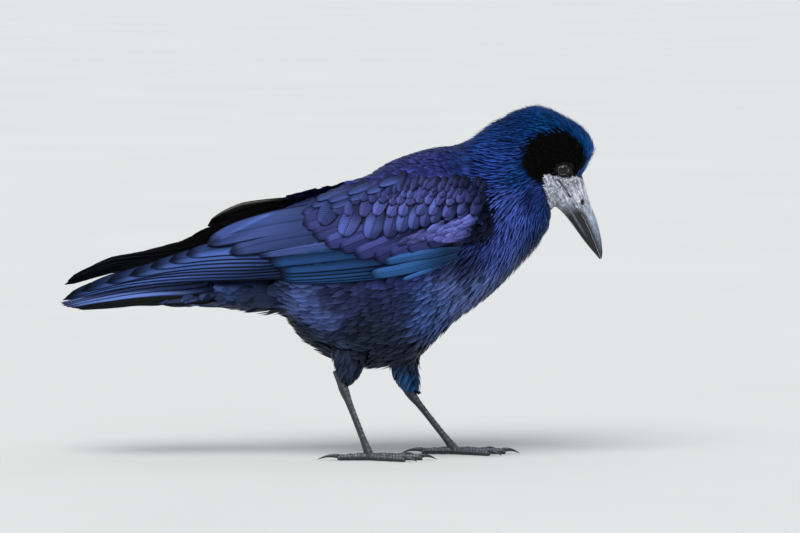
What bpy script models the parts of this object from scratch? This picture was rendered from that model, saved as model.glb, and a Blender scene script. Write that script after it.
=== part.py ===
"""A rook on the ground: a still, life-size model of an adult bird.

The bird faces +X and its left side is at +Y.  It stands on the plane Z = 0, in the middle
of a stride, with its head bent so that the bill points forward and down.  The solids give
the outline out to the tips of the feathers.  Tables are in millimetres; the meshes are in
metres.
"""

import math

import bmesh
import bpy
import numpy as np
from mathutils import Vector

MM = 0.001                # tables are in millimetres, Blender works in metres
GAP = 0.3                 # clearance between sub-parts that meet
COLLECTION = "Rook"
CUTTERS = "Rook_cutters"

# --- body: one long loft from the root of the tail to the bill ------------------------
# Each row is a flat section across the body: where it meets the line of the back (x, z),
# where it meets the line of the belly (x, z), half its width, how far up the section is
# widest (0 belly, 1 back), and how square the part under and over that is (2 = ellipse).
BODY_SECTIONS = (
    (-38.0, 143.0, -38.0, 98.8, 20.5, 0.45, 2.1, 2.0),
    (-29.0, 161.0, -30.0, 94.5, 26.0, 0.45, 2.1, 2.0),
    (-15.0, 171.5, -20.5, 80.5, 32.0, 0.46, 2.0, 2.1),
    (2.0, 180.5, -3.0, 67.0, 37.5, 0.47, 2.0, 2.1),
    (20.0, 190.0, 16.0, 60.5, 41.5, 0.47, 2.0, 2.1),
    (38.0, 202.0, 36.0, 59.5, 44.0, 0.48, 2.0, 2.15),
    (56.0, 209.0, 57.5, 64.5, 45.5, 0.50, 2.0, 2.15),
    (71.0, 212.8, 75.0, 81.5, 45.5, 0.52, 2.0, 2.1),
    (83.0, 214.0, 94.0, 97.5, 43.5, 0.53, 2.0, 2.0),      # base of the neck
    (91.5, 216.5, 113.0, 113.0, 39.5, 0.52, 2.0, 2.0),
    (100.5, 223.0, 128.5, 128.0, 34.5, 0.50, 2.0, 2.0),
    (110.0, 230.5, 141.0, 141.5, 29.5, 0.50, 2.0, 2.0),
    (119.5, 235.8, 149.0, 153.0, 26.0, 0.50, 2.0, 2.0),   # back of the head
    (129.5, 239.3, 151.2, 163.0, 23.4, 0.50, 2.0, 2.0),
    (140.0, 241.9, 151.2, 169.5, 21.6, 0.50, 2.0, 2.0),
    (150.5, 239.2, 150.8, 173.0, 20.6, 0.50, 2.0, 2.0),
    (161.0, 233.8, 150.3, 175.0, 19.8, 0.49, 2.0, 2.0),
    (171.0, 227.6, 149.9, 176.3, 18.9, 0.47, 2.0, 2.0),
    (177.8, 219.5, 149.6, 177.3, 17.9, 0.45, 2.0, 2.0),
    (180.2, 212.0, 149.2, 178.3, 16.4, 0.44, 2.0, 2.0),
    (177.6, 204.5, 148.6, 179.3, 14.4, 0.43, 2.0, 2.0),
    (174.4, 198.3, 148.0, 180.0, 12.6, 0.43, 2.0, 2.0),
    (172.4, 192.6, 147.8, 180.4, 11.3, 0.44, 2.2, 2.1),   # root of the bill
)
NECK_BASE = 8             # rows of the table where the body is parted
HEAD_BACK = 12
BILL_ROOT = 22
BODY_RING = 26            # points round each section
RINGS_PER_ROW = 2

# --- bill: stations along its axis, measured back from the tip ---------------------------
BILL_TIP = (184.3, 0.0, 135.4)
BILL_DOWN = 62.5          # degrees that the bill points below the horizontal
# distance from the tip, height of the ridge over the axis, height of the lower edge,
# height of the line of the mouth, half width
BILL_SECTIONS = (
    (0.6, 1.2, 0.0, 0.55, 0.75),
    (3.0, 3.0, -0.6, 0.8, 1.5),
    (6.0, 4.6, -1.3, 1.2, 2.2),
    (12.0, 6.9, -2.7, 1.9, 3.3),
    (20.0, 9.1, -4.2, 2.5, 4.7),
    (29.0, 10.8, -5.5, 2.9, 6.2),
    (37.0, 11.4, -6.9, 2.6, 7.7),
    (43.5, 12.3, -8.8, 1.5, 9.1),
    (48.0, 13.5, -10.6, 0.8, 10.2),
)
BILL_RING = 16

# --- eyes ------------------------------------------------------------------------------
EYE_PLACE = (158.2, 13.4, 198.0)
EYE_RADIUS = 6.0

# --- wings: stations from the bend of the wing to its tip ----------------------------------
# Each station crosses the wing from its upper edge over its middle to its lower edge, as
# three points (x, out from the body, z), and has the thickness of the wing there.
WING_STATIONS = (
    ((91.0, 38.0, 191.5), (105.5, 42.5, 175.5), (109.5, 41.5, 157.5), 3.4),    # bend
    ((84.0, 35.5, 196.5), (96.0, 47.0, 175.0), (100.0, 46.5, 152.0), 5.0),
    ((72.0, 28.5, 201.5), (79.0, 49.5, 172.0), (84.0, 48.0, 142.5), 6.0),
    ((56.0, 21.5, 203.0), (58.0, 49.8, 168.5), (63.0, 47.0, 132.0), 6.0),
    ((38.0, 15.0, 198.5), (36.0, 48.5, 163.5), (41.0, 45.0, 124.5), 5.6),
    ((18.0, 9.0, 191.5), (12.0, 45.5, 158.5), (20.0, 42.5, 125.5), 5.0),
    ((-4.0, 5.0, 183.5), (-12.0, 40.5, 153.0), (0.0, 39.5, 124.0), 4.4),       # covert tips
    ((-30.0, 6.0, 173.0), (-32.0, 34.5, 146.0), (-18.0, 37.0, 121.8), 3.6),
    ((-58.0, 9.0, 159.0), (-54.0, 29.0, 138.5), (-34.0, 34.5, 122.0), 2.8),
    ((-83.0, 11.5, 147.5), (-72.0, 25.5, 135.5), (-42.0, 33.5, 127.0), 2.2),   # tertial tips
    ((-104.0, 11.5, 137.5), (-98.0, 21.0, 130.5), (-86.0, 27.0, 125.5), 1.9),
    ((-126.0, 11.0, 129.0), (-123.0, 17.0, 125.2), (-118.0, 22.5, 121.6), 1.6),
    ((-150.0, 11.5, 120.0), (-149.0, 15.0, 117.5), (-146.0, 18.5, 115.2), 1.3),
    ((-170.0, 12.5, 113.4), (-169.5, 14.2, 112.4), (-168.0, 16.0, 111.2), 1.1),
    ((-183.3, 13.6, 109.6), (-183.0, 14.0, 109.2), (-182.5, 14.4, 108.6), 0.9),
)
COVERTS_END = 6           # rows of the table where the wing is parted
TERTIALS_END = 9
WING_ACROSS = 8           # points across the wing
WING_STEPS = 2            # rings for each station
WING_EDGE = 0.7           # least thickness, at the edges
# the left wing is carried higher over the tail: (x, lift, shift towards the middle)
LEFT_WING_LIFT = ((20.0, 0.0, 0.0), (-30.0, 7.5, 4.5), (-60.0, 12.5, 6.5), (-84.0, 12.5, 6.0),
                  (-104.0, 8.5, 1.5), (-126.0, 9.5, 0.0), (-150.0, 12.5, 0.0),
                  (-183.5, 11.0, 0.0))

# --- tail -------------------------------------------------------------------------------
# x, height of the middle, height of the side edges, half width, thickness
TAIL_STATIONS = (
    (-84.5, 126.5, 106.6, 22.5, 3.2),
    (-105.0, 124.8, 106.4, 24.5, 2.4),
    (-130.0, 120.6, 106.0, 26.5, 1.8),
    (-152.0, 115.2, 104.6, 27.5, 1.5),
    (-168.0, 111.0, 103.6, 26.0, 1.3),
    (-179.0, 108.0, 103.2, 19.0, 1.1),
    (-185.7, 106.0, 104.2, 8.0, 0.9),
)
# the coverts over and under the tail's root: x, top, bottom, half width
TAIL_BASE_SECTIONS = (
    (-38.4, 142.0, 98.8, 20.5),
    (-48.0, 136.5, 99.5, 22.0),
    (-60.0, 131.5, 100.8, 22.6),
    (-72.0, 128.2, 102.8, 22.8),
    (-84.1, 126.5, 105.2, 22.2),
)

# --- legs: the right one trails, the left one leads ---------------------------------------
# thighs, feathered down to the heel: z, x, half width along x, half width along y
THIGH_R = ((80.0, 11.0, 15.0, 9.5), (73.0, 12.0, 14.5, 11.3), (66.0, 12.6, 12.2, 10.6),
           (59.0, 12.2, 9.8, 9.0), (53.5, 11.6, 6.6, 6.6), (49.5, 10.8, 3.4, 3.4))
THIGH_L = ((78.0, 49.0, 14.0, 10.0), (68.0, 49.8, 12.6, 11.4), (59.0, 50.6, 11.8, 10.6),
           (51.0, 52.6, 10.6, 9.6), (44.5, 54.8, 8.2, 7.6), (40.0, 57.6, 4.2, 4.2))
STANCE = 21.0             # each leg's distance from the middle plane
HEEL_R = (8.6, 49.6)      # x, z
HEEL_L = (56.4, 39.4)
FOOT_R = (25.5, 5.6)
FOOT_L = (83.0, 5.6)
# along the shank, from heel to foot: share of its length, half depth, half width
TARSUS_STATIONS = ((0.0, 3.2, 2.9), (0.10, 3.3, 2.8), (0.25, 2.4, 2.0), (0.6, 2.3, 1.9),
                   (0.85, 2.6, 2.2), (1.0, 3.2, 3.0))
TARSUS_RING = 10
SHANK_END = 0.86          # the shank is parted from the foot here
# toes: name, heading in degrees from straight on, length, claw length, thickness at root
TOES = (("inner", -27.0, 29.0, 11.0, 5.4), ("middle", -1.0, 37.0, 12.0, 5.8),
        ("outer", 25.0, 28.0, 10.5, 5.2), ("hind", 178.0, 21.0, 15.0, 5.8))
TOE_RING = 8
TOE_PADS = (0.32, 0.60, 0.87)   # shares of the toe's length where a pad is
HEEL_PAD = ((2.6, 4.2, 3.8), (0.0, 3.2, 2.9))   # under the shank: z, half length, half width

# --- colours of the sub-parts: base colour, roughness, metallic ----------------------------
FEATHER_BLUE = ((0.020, 0.035, 0.105), 0.42, 0.0)
FEATHER_VIOLET = ((0.035, 0.042, 0.135), 0.45, 0.0)
FEATHER_TEAL = ((0.018, 0.042, 0.120), 0.40, 0.0)
FEATHER_BLACK = ((0.010, 0.013, 0.024), 0.55, 0.0)
BARE_SKIN = ((0.42, 0.43, 0.47), 0.75, 0.0)
HORN = ((0.13, 0.15, 0.19), 0.45, 0.0)
SCALES = ((0.030, 0.031, 0.034), 0.50, 0.0)
EYE_DARK = ((0.006, 0.005, 0.004), 0.08, 0.0)


# --- scene and materials -------------------------------------------------------------------
def clear_scene():
    """Remove every object, whatever the file opened with."""
    for old in list(bpy.data.objects):
        bpy.data.objects.remove(old, do_unlink=True)


def make_collection(name):
    """A new collection under the scene's own."""
    made = bpy.data.collections.new(name)
    bpy.context.scene.collection.children.link(made)
    return made


def make_material(name, look):
    """A Principled material of one colour, roughness and metallic value."""
    colour, roughness, metallic = look
    material = bpy.data.materials.new(name)
    material.use_nodes = True
    shader = material.node_tree.nodes["Principled BSDF"]
    shader.inputs["Base Color"].default_value = (*colour, 1.0)
    shader.inputs["Roughness"].default_value = roughness
    shader.inputs["Metallic"].default_value = metallic
    return material


# --- mesh tools ----------------------------------------------------------------------------
def smooth_rows(rows, steps):
    """Rows between the given ones, on a Catmull-Rom curve through them all."""
    rows = np.asarray(rows, dtype=float)
    padded = np.vstack((2 * rows[:1] - rows[1:2], rows, 2 * rows[-1:] - rows[-2:-1]))
    out = []
    for k in range(len(rows) - 1):
        before, start, end, after = padded[k:k + 4]
        for step in range(steps):
            t = step / steps
            out.append(0.5 * (2 * start + (end - before) * t
                              + (2 * before - 5 * start + 4 * end - after) * t ** 2
                              + (3 * start - before - 3 * end + after) * t ** 3))
    out.append(rows[-1])
    return np.array(out)


def place_object(name, soup, place, look, collection):
    """One smooth-shaded object from a bmesh, at its place, with its own material."""
    mesh = bpy.data.meshes.new(name)
    soup.to_mesh(mesh)
    soup.free()
    mesh.shade_smooth()
    mesh.set_sharp_from_angle(angle=math.radians(50))
    made = bpy.data.objects.new(name, mesh)
    made.location = place
    made.data.materials.append(make_material("mat_" + name, look))
    collection.objects.link(made)
    return made


def make_object(name, points, faces, look, collection):
    """One object from points in millimetres, its origin on the ground under its middle."""
    points = np.array(points) * MM
    place = np.array((*points.mean(axis=0)[:2], 0.0))
    soup = bmesh.new()
    corners = [soup.verts.new(p) for p in points - place]
    for face in faces:
        soup.faces.new([corners[k] for k in face])
    bmesh.ops.recalc_face_normals(soup, faces=soup.faces)
    return place_object(name, soup, place, look, collection)


def loft(name, rings, look, collection):
    """A closed solid through rings of equal count, with a flat face at each end."""
    count = len(rings[0])
    points = [p for ring in rings for p in ring]
    faces = []
    for row in range(len(rings) - 1):
        low = row * count
        for k in range(count):
            right = (k + 1) % count
            faces.append((low + k, low + right, low + count + right, low + count + k))
    faces.append(tuple(range(count)))
    faces.append(tuple(range(len(points) - count, len(points))))
    return make_object(name, points, faces, look, collection)


def plate(name, outer, inner, look, collection):
    """A closed solid between two grids of points, one over the other."""
    rows, across = outer.shape[:2]
    points = [*outer.reshape(-1, 3), *inner.reshape(-1, 3)]
    under = rows * across
    faces = []
    for r in range(rows - 1):
        for a in range(across - 1):
            k = r * across + a
            for half in ((k, k + 1, k + across + 1), (k, k + across + 1, k + across)):
                faces.append(half)
                faces.append(tuple(under + q for q in reversed(half)))
    for r in range(rows - 1):
        for edge in (0, across - 1):
            k = r * across + edge
            faces.append((k, k + across, under + k + across, under + k))
    for a in range(across - 1):
        for edge in (0, (rows - 1) * across):
            k = edge + a
            faces.append((k, k + 1, under + k + 1, under + k))
    return make_object(name, points, faces, look, collection)


def superellipse(count, low_power, high_power):
    """Directions round a ring: (up, out), squarer where the power is higher."""
    for k in range(count):
        angle = 2 * math.pi * (k + 0.5) / count
        power = high_power if math.cos(angle) > 0 else low_power
        up = math.copysign(abs(math.cos(angle)) ** (2 / power), math.cos(angle))
        out = math.copysign(abs(math.sin(angle)) ** (2 / power), math.sin(angle))
        yield up, out


def cut(solid, cutter):
    """Take the cutter's shape out of the solid."""
    step = solid.modifiers.new("cut_" + cutter.name, "BOOLEAN")
    step.operation = "DIFFERENCE"
    step.solver = "EXACT"
    step.object = cutter


def as_cutter(made):
    """Show a cutter as wire, and keep it out of renders."""
    made.hide_render = True
    made.display_type = "WIRE"
    return made


# --- body ----------------------------------------------------------------------------------
def body_ring(row, shift=0.0):
    """The ring of one body section, moved towards the bill by the shift."""
    back = np.array((row[0], 0.0, row[1]))
    belly = np.array((row[2], 0.0, row[3]))
    half_width, widest, low, high = row[4:]
    rise = back - belly
    ahead = np.array((rise[2], 0.0, -rise[0])) / np.linalg.norm(rise)
    ring = []
    for up, out in superellipse(BODY_RING, low, high):
        share = widest + up * ((1 - widest) if up > 0 else widest)
        point = belly + share * rise + ahead * shift
        ring.append((point[0], out * half_width, point[2]))
    return ring


def body_part(name, first, last, look, collection):
    """The length of the body between two rows of the table."""
    rows = smooth_rows(BODY_SECTIONS, RINGS_PER_ROW)
    rows = rows[first * RINGS_PER_ROW:last * RINGS_PER_ROW + 1]
    shifts = [GAP if first else 0.0] + [0.0] * (len(rows) - 1)
    rings = [body_ring(row, shift) for row, shift in zip(rows, shifts)]
    return loft(name, rings, look, collection)


# --- bill and face -------------------------------------------------------------------------
def bill_point(back, height, out):
    """A point of the bill, from its distance to the tip, height over the axis and side."""
    dip = math.radians(BILL_DOWN)
    along = np.array((math.cos(dip), 0.0, -math.sin(dip)))
    over = np.array((math.sin(dip), 0.0, math.cos(dip)))
    return np.array(BILL_TIP) - along * back + over * height + np.array((0.0, out, 0.0))


def mandible(name, upper, look, collection):
    """The upper or the lower half of the bill, flat where the two close."""
    rings = []
    for back, ridge, under, mouth, half in smooth_rows(BILL_SECTIONS, 2):
        edge = mouth + (GAP / 2 if upper else -GAP / 2)
        depth = (ridge - edge) if upper else (under - edge)
        ring = []
        for k in range(BILL_RING // 2 + 1):
            angle = math.pi * k / (BILL_RING // 2)
            lift = depth * math.sin(angle) ** 0.9
            ring.append(bill_point(back, edge + lift, half * math.cos(angle)))
        for k in (1, 2, 3):
            ring.append(bill_point(back, edge, half * (k / 2 - 1)))
        rings.append(ring)
    return loft(name, rings, look, collection)


def bare_face(collection):
    """The bare skin between the feathers of the head and the horn of the bill."""
    back_row = np.array(BODY_SECTIONS[BILL_ROOT])
    front_back, ridge, under, _mouth, half = BILL_SECTIONS[-1]
    top = bill_point(front_back, ridge, 0.0)
    low = bill_point(front_back, under, 0.0)
    front_row = np.array((top[0], top[2], low[0], low[2], half, 0.47, 2.1, 2.0))
    rings = []
    for share in (0.0, 0.33, 0.66, 1.0):
        row = back_row + (front_row - back_row) * share
        shift = GAP * (1 - share) - GAP * share
        rings.append(body_ring(row, shift))
    return loft("face", rings, BARE_SKIN, collection)


# --- eyes ----------------------------------------------------------------------------------
def eyeball(name, side, radius, collection):
    """An eyeball on one side of the head."""
    soup = bmesh.new()
    bmesh.ops.create_uvsphere(soup, u_segments=14, v_segments=10, radius=radius * MM)
    place = Vector((EYE_PLACE[0], side * EYE_PLACE[1], EYE_PLACE[2])) * MM
    return place_object(name, soup, place, EYE_DARK, collection)


# --- wings ---------------------------------------------------------------------------------
def wing_lift(x):
    """How much higher, and how much nearer the middle, the left wing lies at x."""
    stations = sorted(LEFT_WING_LIFT)
    places, lifts, shifts = zip(*stations)
    return np.interp(x, places, lifts), np.interp(x, places, shifts)


def wing_grid(side, steps, across):
    """Points of the wing's outer face, and the thickness of the wing at each row."""
    table = []
    for upper, middle, lower, thickness in WING_STATIONS:
        row = []
        for place, (x, out, z) in enumerate((upper, middle, lower)):
            if side > 0:
                lift, shift = wing_lift(x)
                z += lift * (1.0, 0.85, 0.75)[place]
                out -= shift * (1.0, 0.5, 0.0)[place]
            row += [x, out, z]
        table.append([*row, thickness])
    rows = smooth_rows(table, steps)
    grid = np.zeros((len(rows), across, 3))
    for r, row in enumerate(rows):
        upper, middle, lower = row[:9].reshape(3, 3)
        for a in range(across):
            v = a / (across - 1)
            grid[r, a] = (upper * (1 - v) * (1 - 2 * v) + middle * 4 * v * (1 - v)
                          + lower * v * (2 * v - 1))
    grid[:, :, 1] *= side
    return grid, rows[:, 9]


def outward(grid, side):
    """The direction out of the body at each point of a wing's grid."""
    along = np.gradient(grid, axis=0)
    down = np.gradient(grid, axis=1)
    normal = np.cross(along, down) * -side
    return normal / np.linalg.norm(normal, axis=2, keepdims=True)


def wing_thickness(thickness, across):
    """Full in the middle of the wing and thin along both edges."""
    v = np.linspace(0.0, 1.0, across)
    profile = np.sin(math.pi * v) ** 0.6
    return WING_EDGE + (thickness[:, None] - WING_EDGE) * profile[None, :]


def wing_part(name, side, first, last, look, collection):
    """The length of a wing between two rows of the table."""
    grid, thickness = wing_grid(side, WING_STEPS, WING_ACROSS)
    normal = outward(grid, side)
    depth = wing_thickness(thickness, WING_ACROSS)
    rows = slice(first * WING_STEPS, last * WING_STEPS + 1)
    outer = grid[rows].copy()
    inner = (grid - normal * depth[:, :, None])[rows].copy()
    if first:
        along = outer[1] - outer[0]
        along /= np.linalg.norm(along, axis=1, keepdims=True)
        outer[0] += along * GAP * 2.2
        inner[0] += along * GAP * 2.2
    return plate(name, outer, inner, look, collection)


def wing_room(name, side, collection):
    """The room that a folded wing takes out of the body under it."""
    grid, thickness = wing_grid(side, WING_STEPS, WING_ACROSS)
    grid = grid[:TERTIALS_END * WING_STEPS + 1]
    thickness = thickness[:TERTIALS_END * WING_STEPS + 1]
    normal = outward(grid, side)
    depth = wing_thickness(thickness, WING_ACROSS) + GAP
    front = grid[:1] + (grid[:1] - grid[1:2]) * 0.06
    grid = np.vstack((front, grid))
    normal = np.vstack((normal[:1], normal))
    depth = np.vstack((depth[:1], depth))
    inner = grid - normal * depth[:, :, None]
    outer = grid + normal * 7.0
    for sheet in (inner, outer):
        across = sheet[:, 1] - sheet[:, 0]
        across /= np.linalg.norm(across, axis=1, keepdims=True)
        sheet[:, 0] -= across * GAP * 1.3
        across = sheet[:, -1] - sheet[:, -2]
        across /= np.linalg.norm(across, axis=1, keepdims=True)
        sheet[:, -1] += across * GAP * 1.3
    return as_cutter(plate(name, outer, inner, FEATHER_BLACK, collection))


# --- tail ----------------------------------------------------------------------------------
def tail_feathers(collection):
    """The closed tail: an arched fan, round at its end."""
    rows = smooth_rows(TAIL_STATIONS, 2)
    across = 11
    outer = np.zeros((len(rows), across, 3))
    inner = np.zeros((len(rows), across, 3))
    for r, (x, middle, edge, half, thickness) in enumerate(rows):
        for a in range(across):
            v = 2 * a / (across - 1) - 1
            z = middle - (middle - edge) * abs(v) ** 1.8
            thick = thickness * (1 - 0.4 * abs(v))
            outer[r, a] = (x, half * v, z)
            inner[r, a] = (x, half * v * 0.985, z - thick)
    return plate("tail", outer, inner, FEATHER_BLUE, collection)


def tail_root(collection):
    """The coverts round the root of the tail."""
    rings = []
    for x, top, bottom, half in smooth_rows(TAIL_BASE_SECTIONS, 2):
        middle = (top + bottom) / 2
        ring = []
        for up, out in superellipse(20, 2.3, 2.0):
            ring.append((x, out * half, middle + up * (top - bottom) / 2))
        rings.append(ring)
    return loft("tail_base", rings, FEATHER_BLACK, collection)


# --- legs ----------------------------------------------------------------------------------
def thigh(name, side, sections, collection):
    """The feathered upper leg, from inside the flank to the heel."""
    rings = []
    for z, x, half_x, half_y in smooth_rows(sections, 2):
        ring = []
        for k in range(14):
            angle = 2 * math.pi * k / 14
            ring.append((x + half_x * math.cos(angle),
                         side * STANCE + half_y * math.sin(angle), z))
        rings.append(ring)
    return loft(name, rings, FEATHER_BLACK, collection)


def shank_frame(heel, foot):
    """Start, direction and forward direction of a shank in the plane of its stride."""
    start = np.array((heel[0], 0.0, heel[1]))
    end = np.array((foot[0], 0.0, foot[1]))
    along = (end - start) / np.linalg.norm(end - start)
    forward = np.array((-along[2], 0.0, along[0]))
    return start, end, along, forward


def shank_ring(share, half_depth, half_width, side, heel, foot):
    """A ring round the shank at a share of its length."""
    start, end, _along, forward = shank_frame(heel, foot)
    centre = start + (end - start) * share + np.array((0.0, side * STANCE, 0.0))
    ring = []
    for k in range(TARSUS_RING):
        angle = 2 * math.pi * k / TARSUS_RING
        ring.append(centre + forward * half_depth * math.cos(angle)
                    + np.array((0.0, half_width * math.sin(angle), 0.0)))
    return ring


def shank_stations(low, high):
    """Stations of the shank between two shares of its length."""
    shares, depths, widths = zip(*TARSUS_STATIONS)
    for share in np.linspace(low, high, max(3, round((high - low) * 8))):
        yield share, np.interp(share, shares, depths), np.interp(share, shares, widths)


def tarsus(name, side, heel, foot, collection):
    """The scaled shank from the heel down to the foot."""
    length = np.linalg.norm(np.subtract(heel, foot))
    top = 2.2 / length
    rings = [shank_ring(*station, side, heel, foot)
             for station in shank_stations(top, SHANK_END)]
    return loft(name, rings, SCALES, collection)


def toe_stations(length, claw, half):
    """Along one toe: reach, half width, height of its middle, half height."""
    yield -1.0, half * 0.75, half * 1.15, half * 0.75
    yield 2.5, half * 0.90, half * 1.20, half * 0.90
    for share in TOE_PADS:
        size = half * (1 - 0.24 * share)
        yield length * (share - 0.12), size * 0.86, size * 1.16, size * 0.90
        yield length * share, size * 1.02, size * 0.92, size * 1.04
    tip = half * 0.60
    for share in (0.0, 0.35, 0.7, 1.0):
        size = tip * (0.95 * (1 - share) ** 0.8 + 0.22)
        arch = tip * (1.15 + 0.75 * math.sin(math.pi * (0.10 + 0.75 * share)))
        yield length * 0.95 + claw * share, size * 0.85, max(arch - tip * share, size), size


def toe(side, foot, heading, length, claw, thickness, collection):
    """One toe with its claw, flat under its pads where it stands."""
    turn = math.radians(heading * side)
    ahead = np.array((math.cos(turn), math.sin(turn), 0.0))
    aside = np.array((-math.sin(turn), math.cos(turn), 0.0))
    root = np.array((foot[0], side * STANCE, 0.0))
    rings = []
    for reach, wide, centre, tall in toe_stations(length, claw, thickness / 2):
        ring = []
        for k in range(TOE_RING):
            angle = 2 * math.pi * (k + 0.5) / TOE_RING
            z = max(centre + tall * math.sin(angle), 0.0)
            ring.append(root + ahead * reach + aside * wide * math.cos(angle)
                        + np.array((0.0, 0.0, z)))
        rings.append(ring)
    return loft("toe", rings, SCALES, collection)


def foot_solid(name, side, heel, foot, collection, scrap):
    """The foot: the lower end of the shank, four toes and their claws in one piece."""
    length = np.linalg.norm(np.subtract(heel, foot))
    rings = [shank_ring(*station, side, heel, foot)
             for station in shank_stations(SHANK_END + GAP / length, 1.0)]
    for z, half_x, half_y in HEEL_PAD:
        ring = []
        for k in range(TARSUS_RING):
            angle = 2 * math.pi * k / TARSUS_RING
            ring.append((foot[0] + half_x * math.cos(angle),
                         side * STANCE + half_y * math.sin(angle), z))
        rings.append(ring)
    solid = loft(name, rings, SCALES, collection)
    for _toe_name, heading, toe_length, claw, thickness in TOES:
        part = as_cutter(toe(side, foot, heading, toe_length, claw, thickness, scrap))
        part.name = f"{name}_{_toe_name}"
        join = solid.modifiers.new(part.name, "BOOLEAN")
        join.operation = "UNION"
        join.solver = "EXACT"
        join.object = part
    return solid


def grown(name, solid, amount, collection):
    """A copy of a solid, grown on every side, to keep another clear of it."""
    copy = bpy.data.objects.new(name, solid.data.copy())
    copy.location = solid.location
    collection.objects.link(copy)
    soup = bmesh.new()
    soup.from_mesh(copy.data)
    soup.normal_update()
    for point in soup.verts:
        point.co += point.normal * amount * MM
    soup.to_mesh(copy.data)
    soup.free()
    return as_cutter(copy)


# --- the bird --------------------------------------------------------------------------------
def build():
    """Make every sub-part in the collection named for the bird."""
    clear_scene()
    bird = make_collection(COLLECTION)
    cutters = make_collection(CUTTERS)

    trunk = body_part("trunk", 0, NECK_BASE, FEATHER_BLUE, bird)
    neck = body_part("neck", NECK_BASE, HEAD_BACK, FEATHER_BLUE, bird)
    head = body_part("head", HEAD_BACK, BILL_ROOT, FEATHER_BLUE, bird)
    face = bare_face(bird)
    cut(head, grown("room_face", face, GAP * 0.8, cutters))
    mandible("bill_upper", True, HORN, bird)
    mandible("bill_lower", False, HORN, bird)
    tail_root(bird)
    tail_feathers(bird)
    trunk_room = grown("room_trunk", trunk, GAP, cutters)

    for letter, side in (("R", -1), ("L", 1)):
        wing_part("wing_coverts_" + letter, side, 0, COVERTS_END, FEATHER_VIOLET, bird)
        wing_part("wing_secondaries_" + letter, side, COVERTS_END, TERTIALS_END,
                  FEATHER_TEAL, bird)
        wing_part("wing_primaries_" + letter, side, TERTIALS_END, len(WING_STATIONS) - 1,
                  FEATHER_TEAL, bird)
        room = wing_room("room_wing_" + letter, side, cutters)
        cut(trunk, room)
        cut(neck, room)

        eyeball("eye_" + letter, side, EYE_RADIUS, bird)
        socket = as_cutter(eyeball("room_eye_" + letter, side, EYE_RADIUS + GAP, cutters))
        cut(head, socket)

        right = side < 0
        heel, foot = (HEEL_R, FOOT_R) if right else (HEEL_L, FOOT_L)
        leg = thigh("thigh_" + letter, side, THIGH_R if right else THIGH_L, bird)
        cut(leg, trunk_room)
        tarsus("tarsus_" + letter, side, heel, foot, bird)
        foot_solid("foot_" + letter, side, heel, foot, bird, cutters)

    origin = bpy.data.objects.new("rook", None)
    bird.objects.link(origin)
    for made in list(bird.objects) + list(cutters.objects):
        if made is not origin:
            made.parent = origin


build()
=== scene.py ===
import math

import bmesh
import bpy
import numpy as np
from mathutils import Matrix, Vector, noise
from mathutils.bvhtree import BVHTree
from mathutils.kdtree import KDTree


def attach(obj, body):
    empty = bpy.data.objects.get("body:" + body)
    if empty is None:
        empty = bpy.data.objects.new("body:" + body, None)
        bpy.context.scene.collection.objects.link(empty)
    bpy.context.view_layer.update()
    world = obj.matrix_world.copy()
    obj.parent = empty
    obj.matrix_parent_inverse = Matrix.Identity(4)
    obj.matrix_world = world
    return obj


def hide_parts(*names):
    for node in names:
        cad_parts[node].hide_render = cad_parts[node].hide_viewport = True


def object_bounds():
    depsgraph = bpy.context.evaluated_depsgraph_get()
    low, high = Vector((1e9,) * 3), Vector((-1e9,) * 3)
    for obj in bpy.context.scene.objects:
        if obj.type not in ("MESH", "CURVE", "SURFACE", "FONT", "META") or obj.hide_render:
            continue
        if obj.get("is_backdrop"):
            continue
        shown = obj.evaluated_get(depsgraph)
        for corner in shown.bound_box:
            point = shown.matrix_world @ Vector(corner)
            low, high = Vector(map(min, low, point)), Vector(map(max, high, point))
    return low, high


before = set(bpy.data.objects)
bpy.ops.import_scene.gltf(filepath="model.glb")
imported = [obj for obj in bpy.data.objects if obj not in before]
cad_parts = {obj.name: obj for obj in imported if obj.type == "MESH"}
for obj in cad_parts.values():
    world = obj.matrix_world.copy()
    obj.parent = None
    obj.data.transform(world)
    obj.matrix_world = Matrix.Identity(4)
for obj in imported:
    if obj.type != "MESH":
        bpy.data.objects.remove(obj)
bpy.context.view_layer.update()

MM = 0.001                      # tables and working shapes are in millimetres

# --- the stand, the light and the camera ------------------------------------------------
# A plain pale studio floor that runs out of sight, under one broad soft light overhead
# and the even light of a pale room. The camera is a long lens a little above the bird.
FLOOR_REACH = 40.0              # metres
FLOOR_PALE = (0.635, 0.635, 0.62, 1.0)
FLOOR_PALER = (0.655, 0.655, 0.64, 1.0)
ROOM_LIGHT = (0.86, 0.92, 1.0, 1.0)
ROOM_STRENGTH = 0.62
OVERHEAD_LIGHT = (1.0, 0.98, 0.95)
OVERHEAD_STRENGTH = 2.5
OVERHEAD_SPREAD = math.radians(38.0)
OVERHEAD_WAY = Vector((0.22, 0.62, -1.0))
AIM = Vector((0.0472, 0.0, 0.131))
CAMERA_RISE = math.radians(4.0)
CAMERA_AWAY = 4.0
VIEW_WIDTH = 0.547


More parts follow.
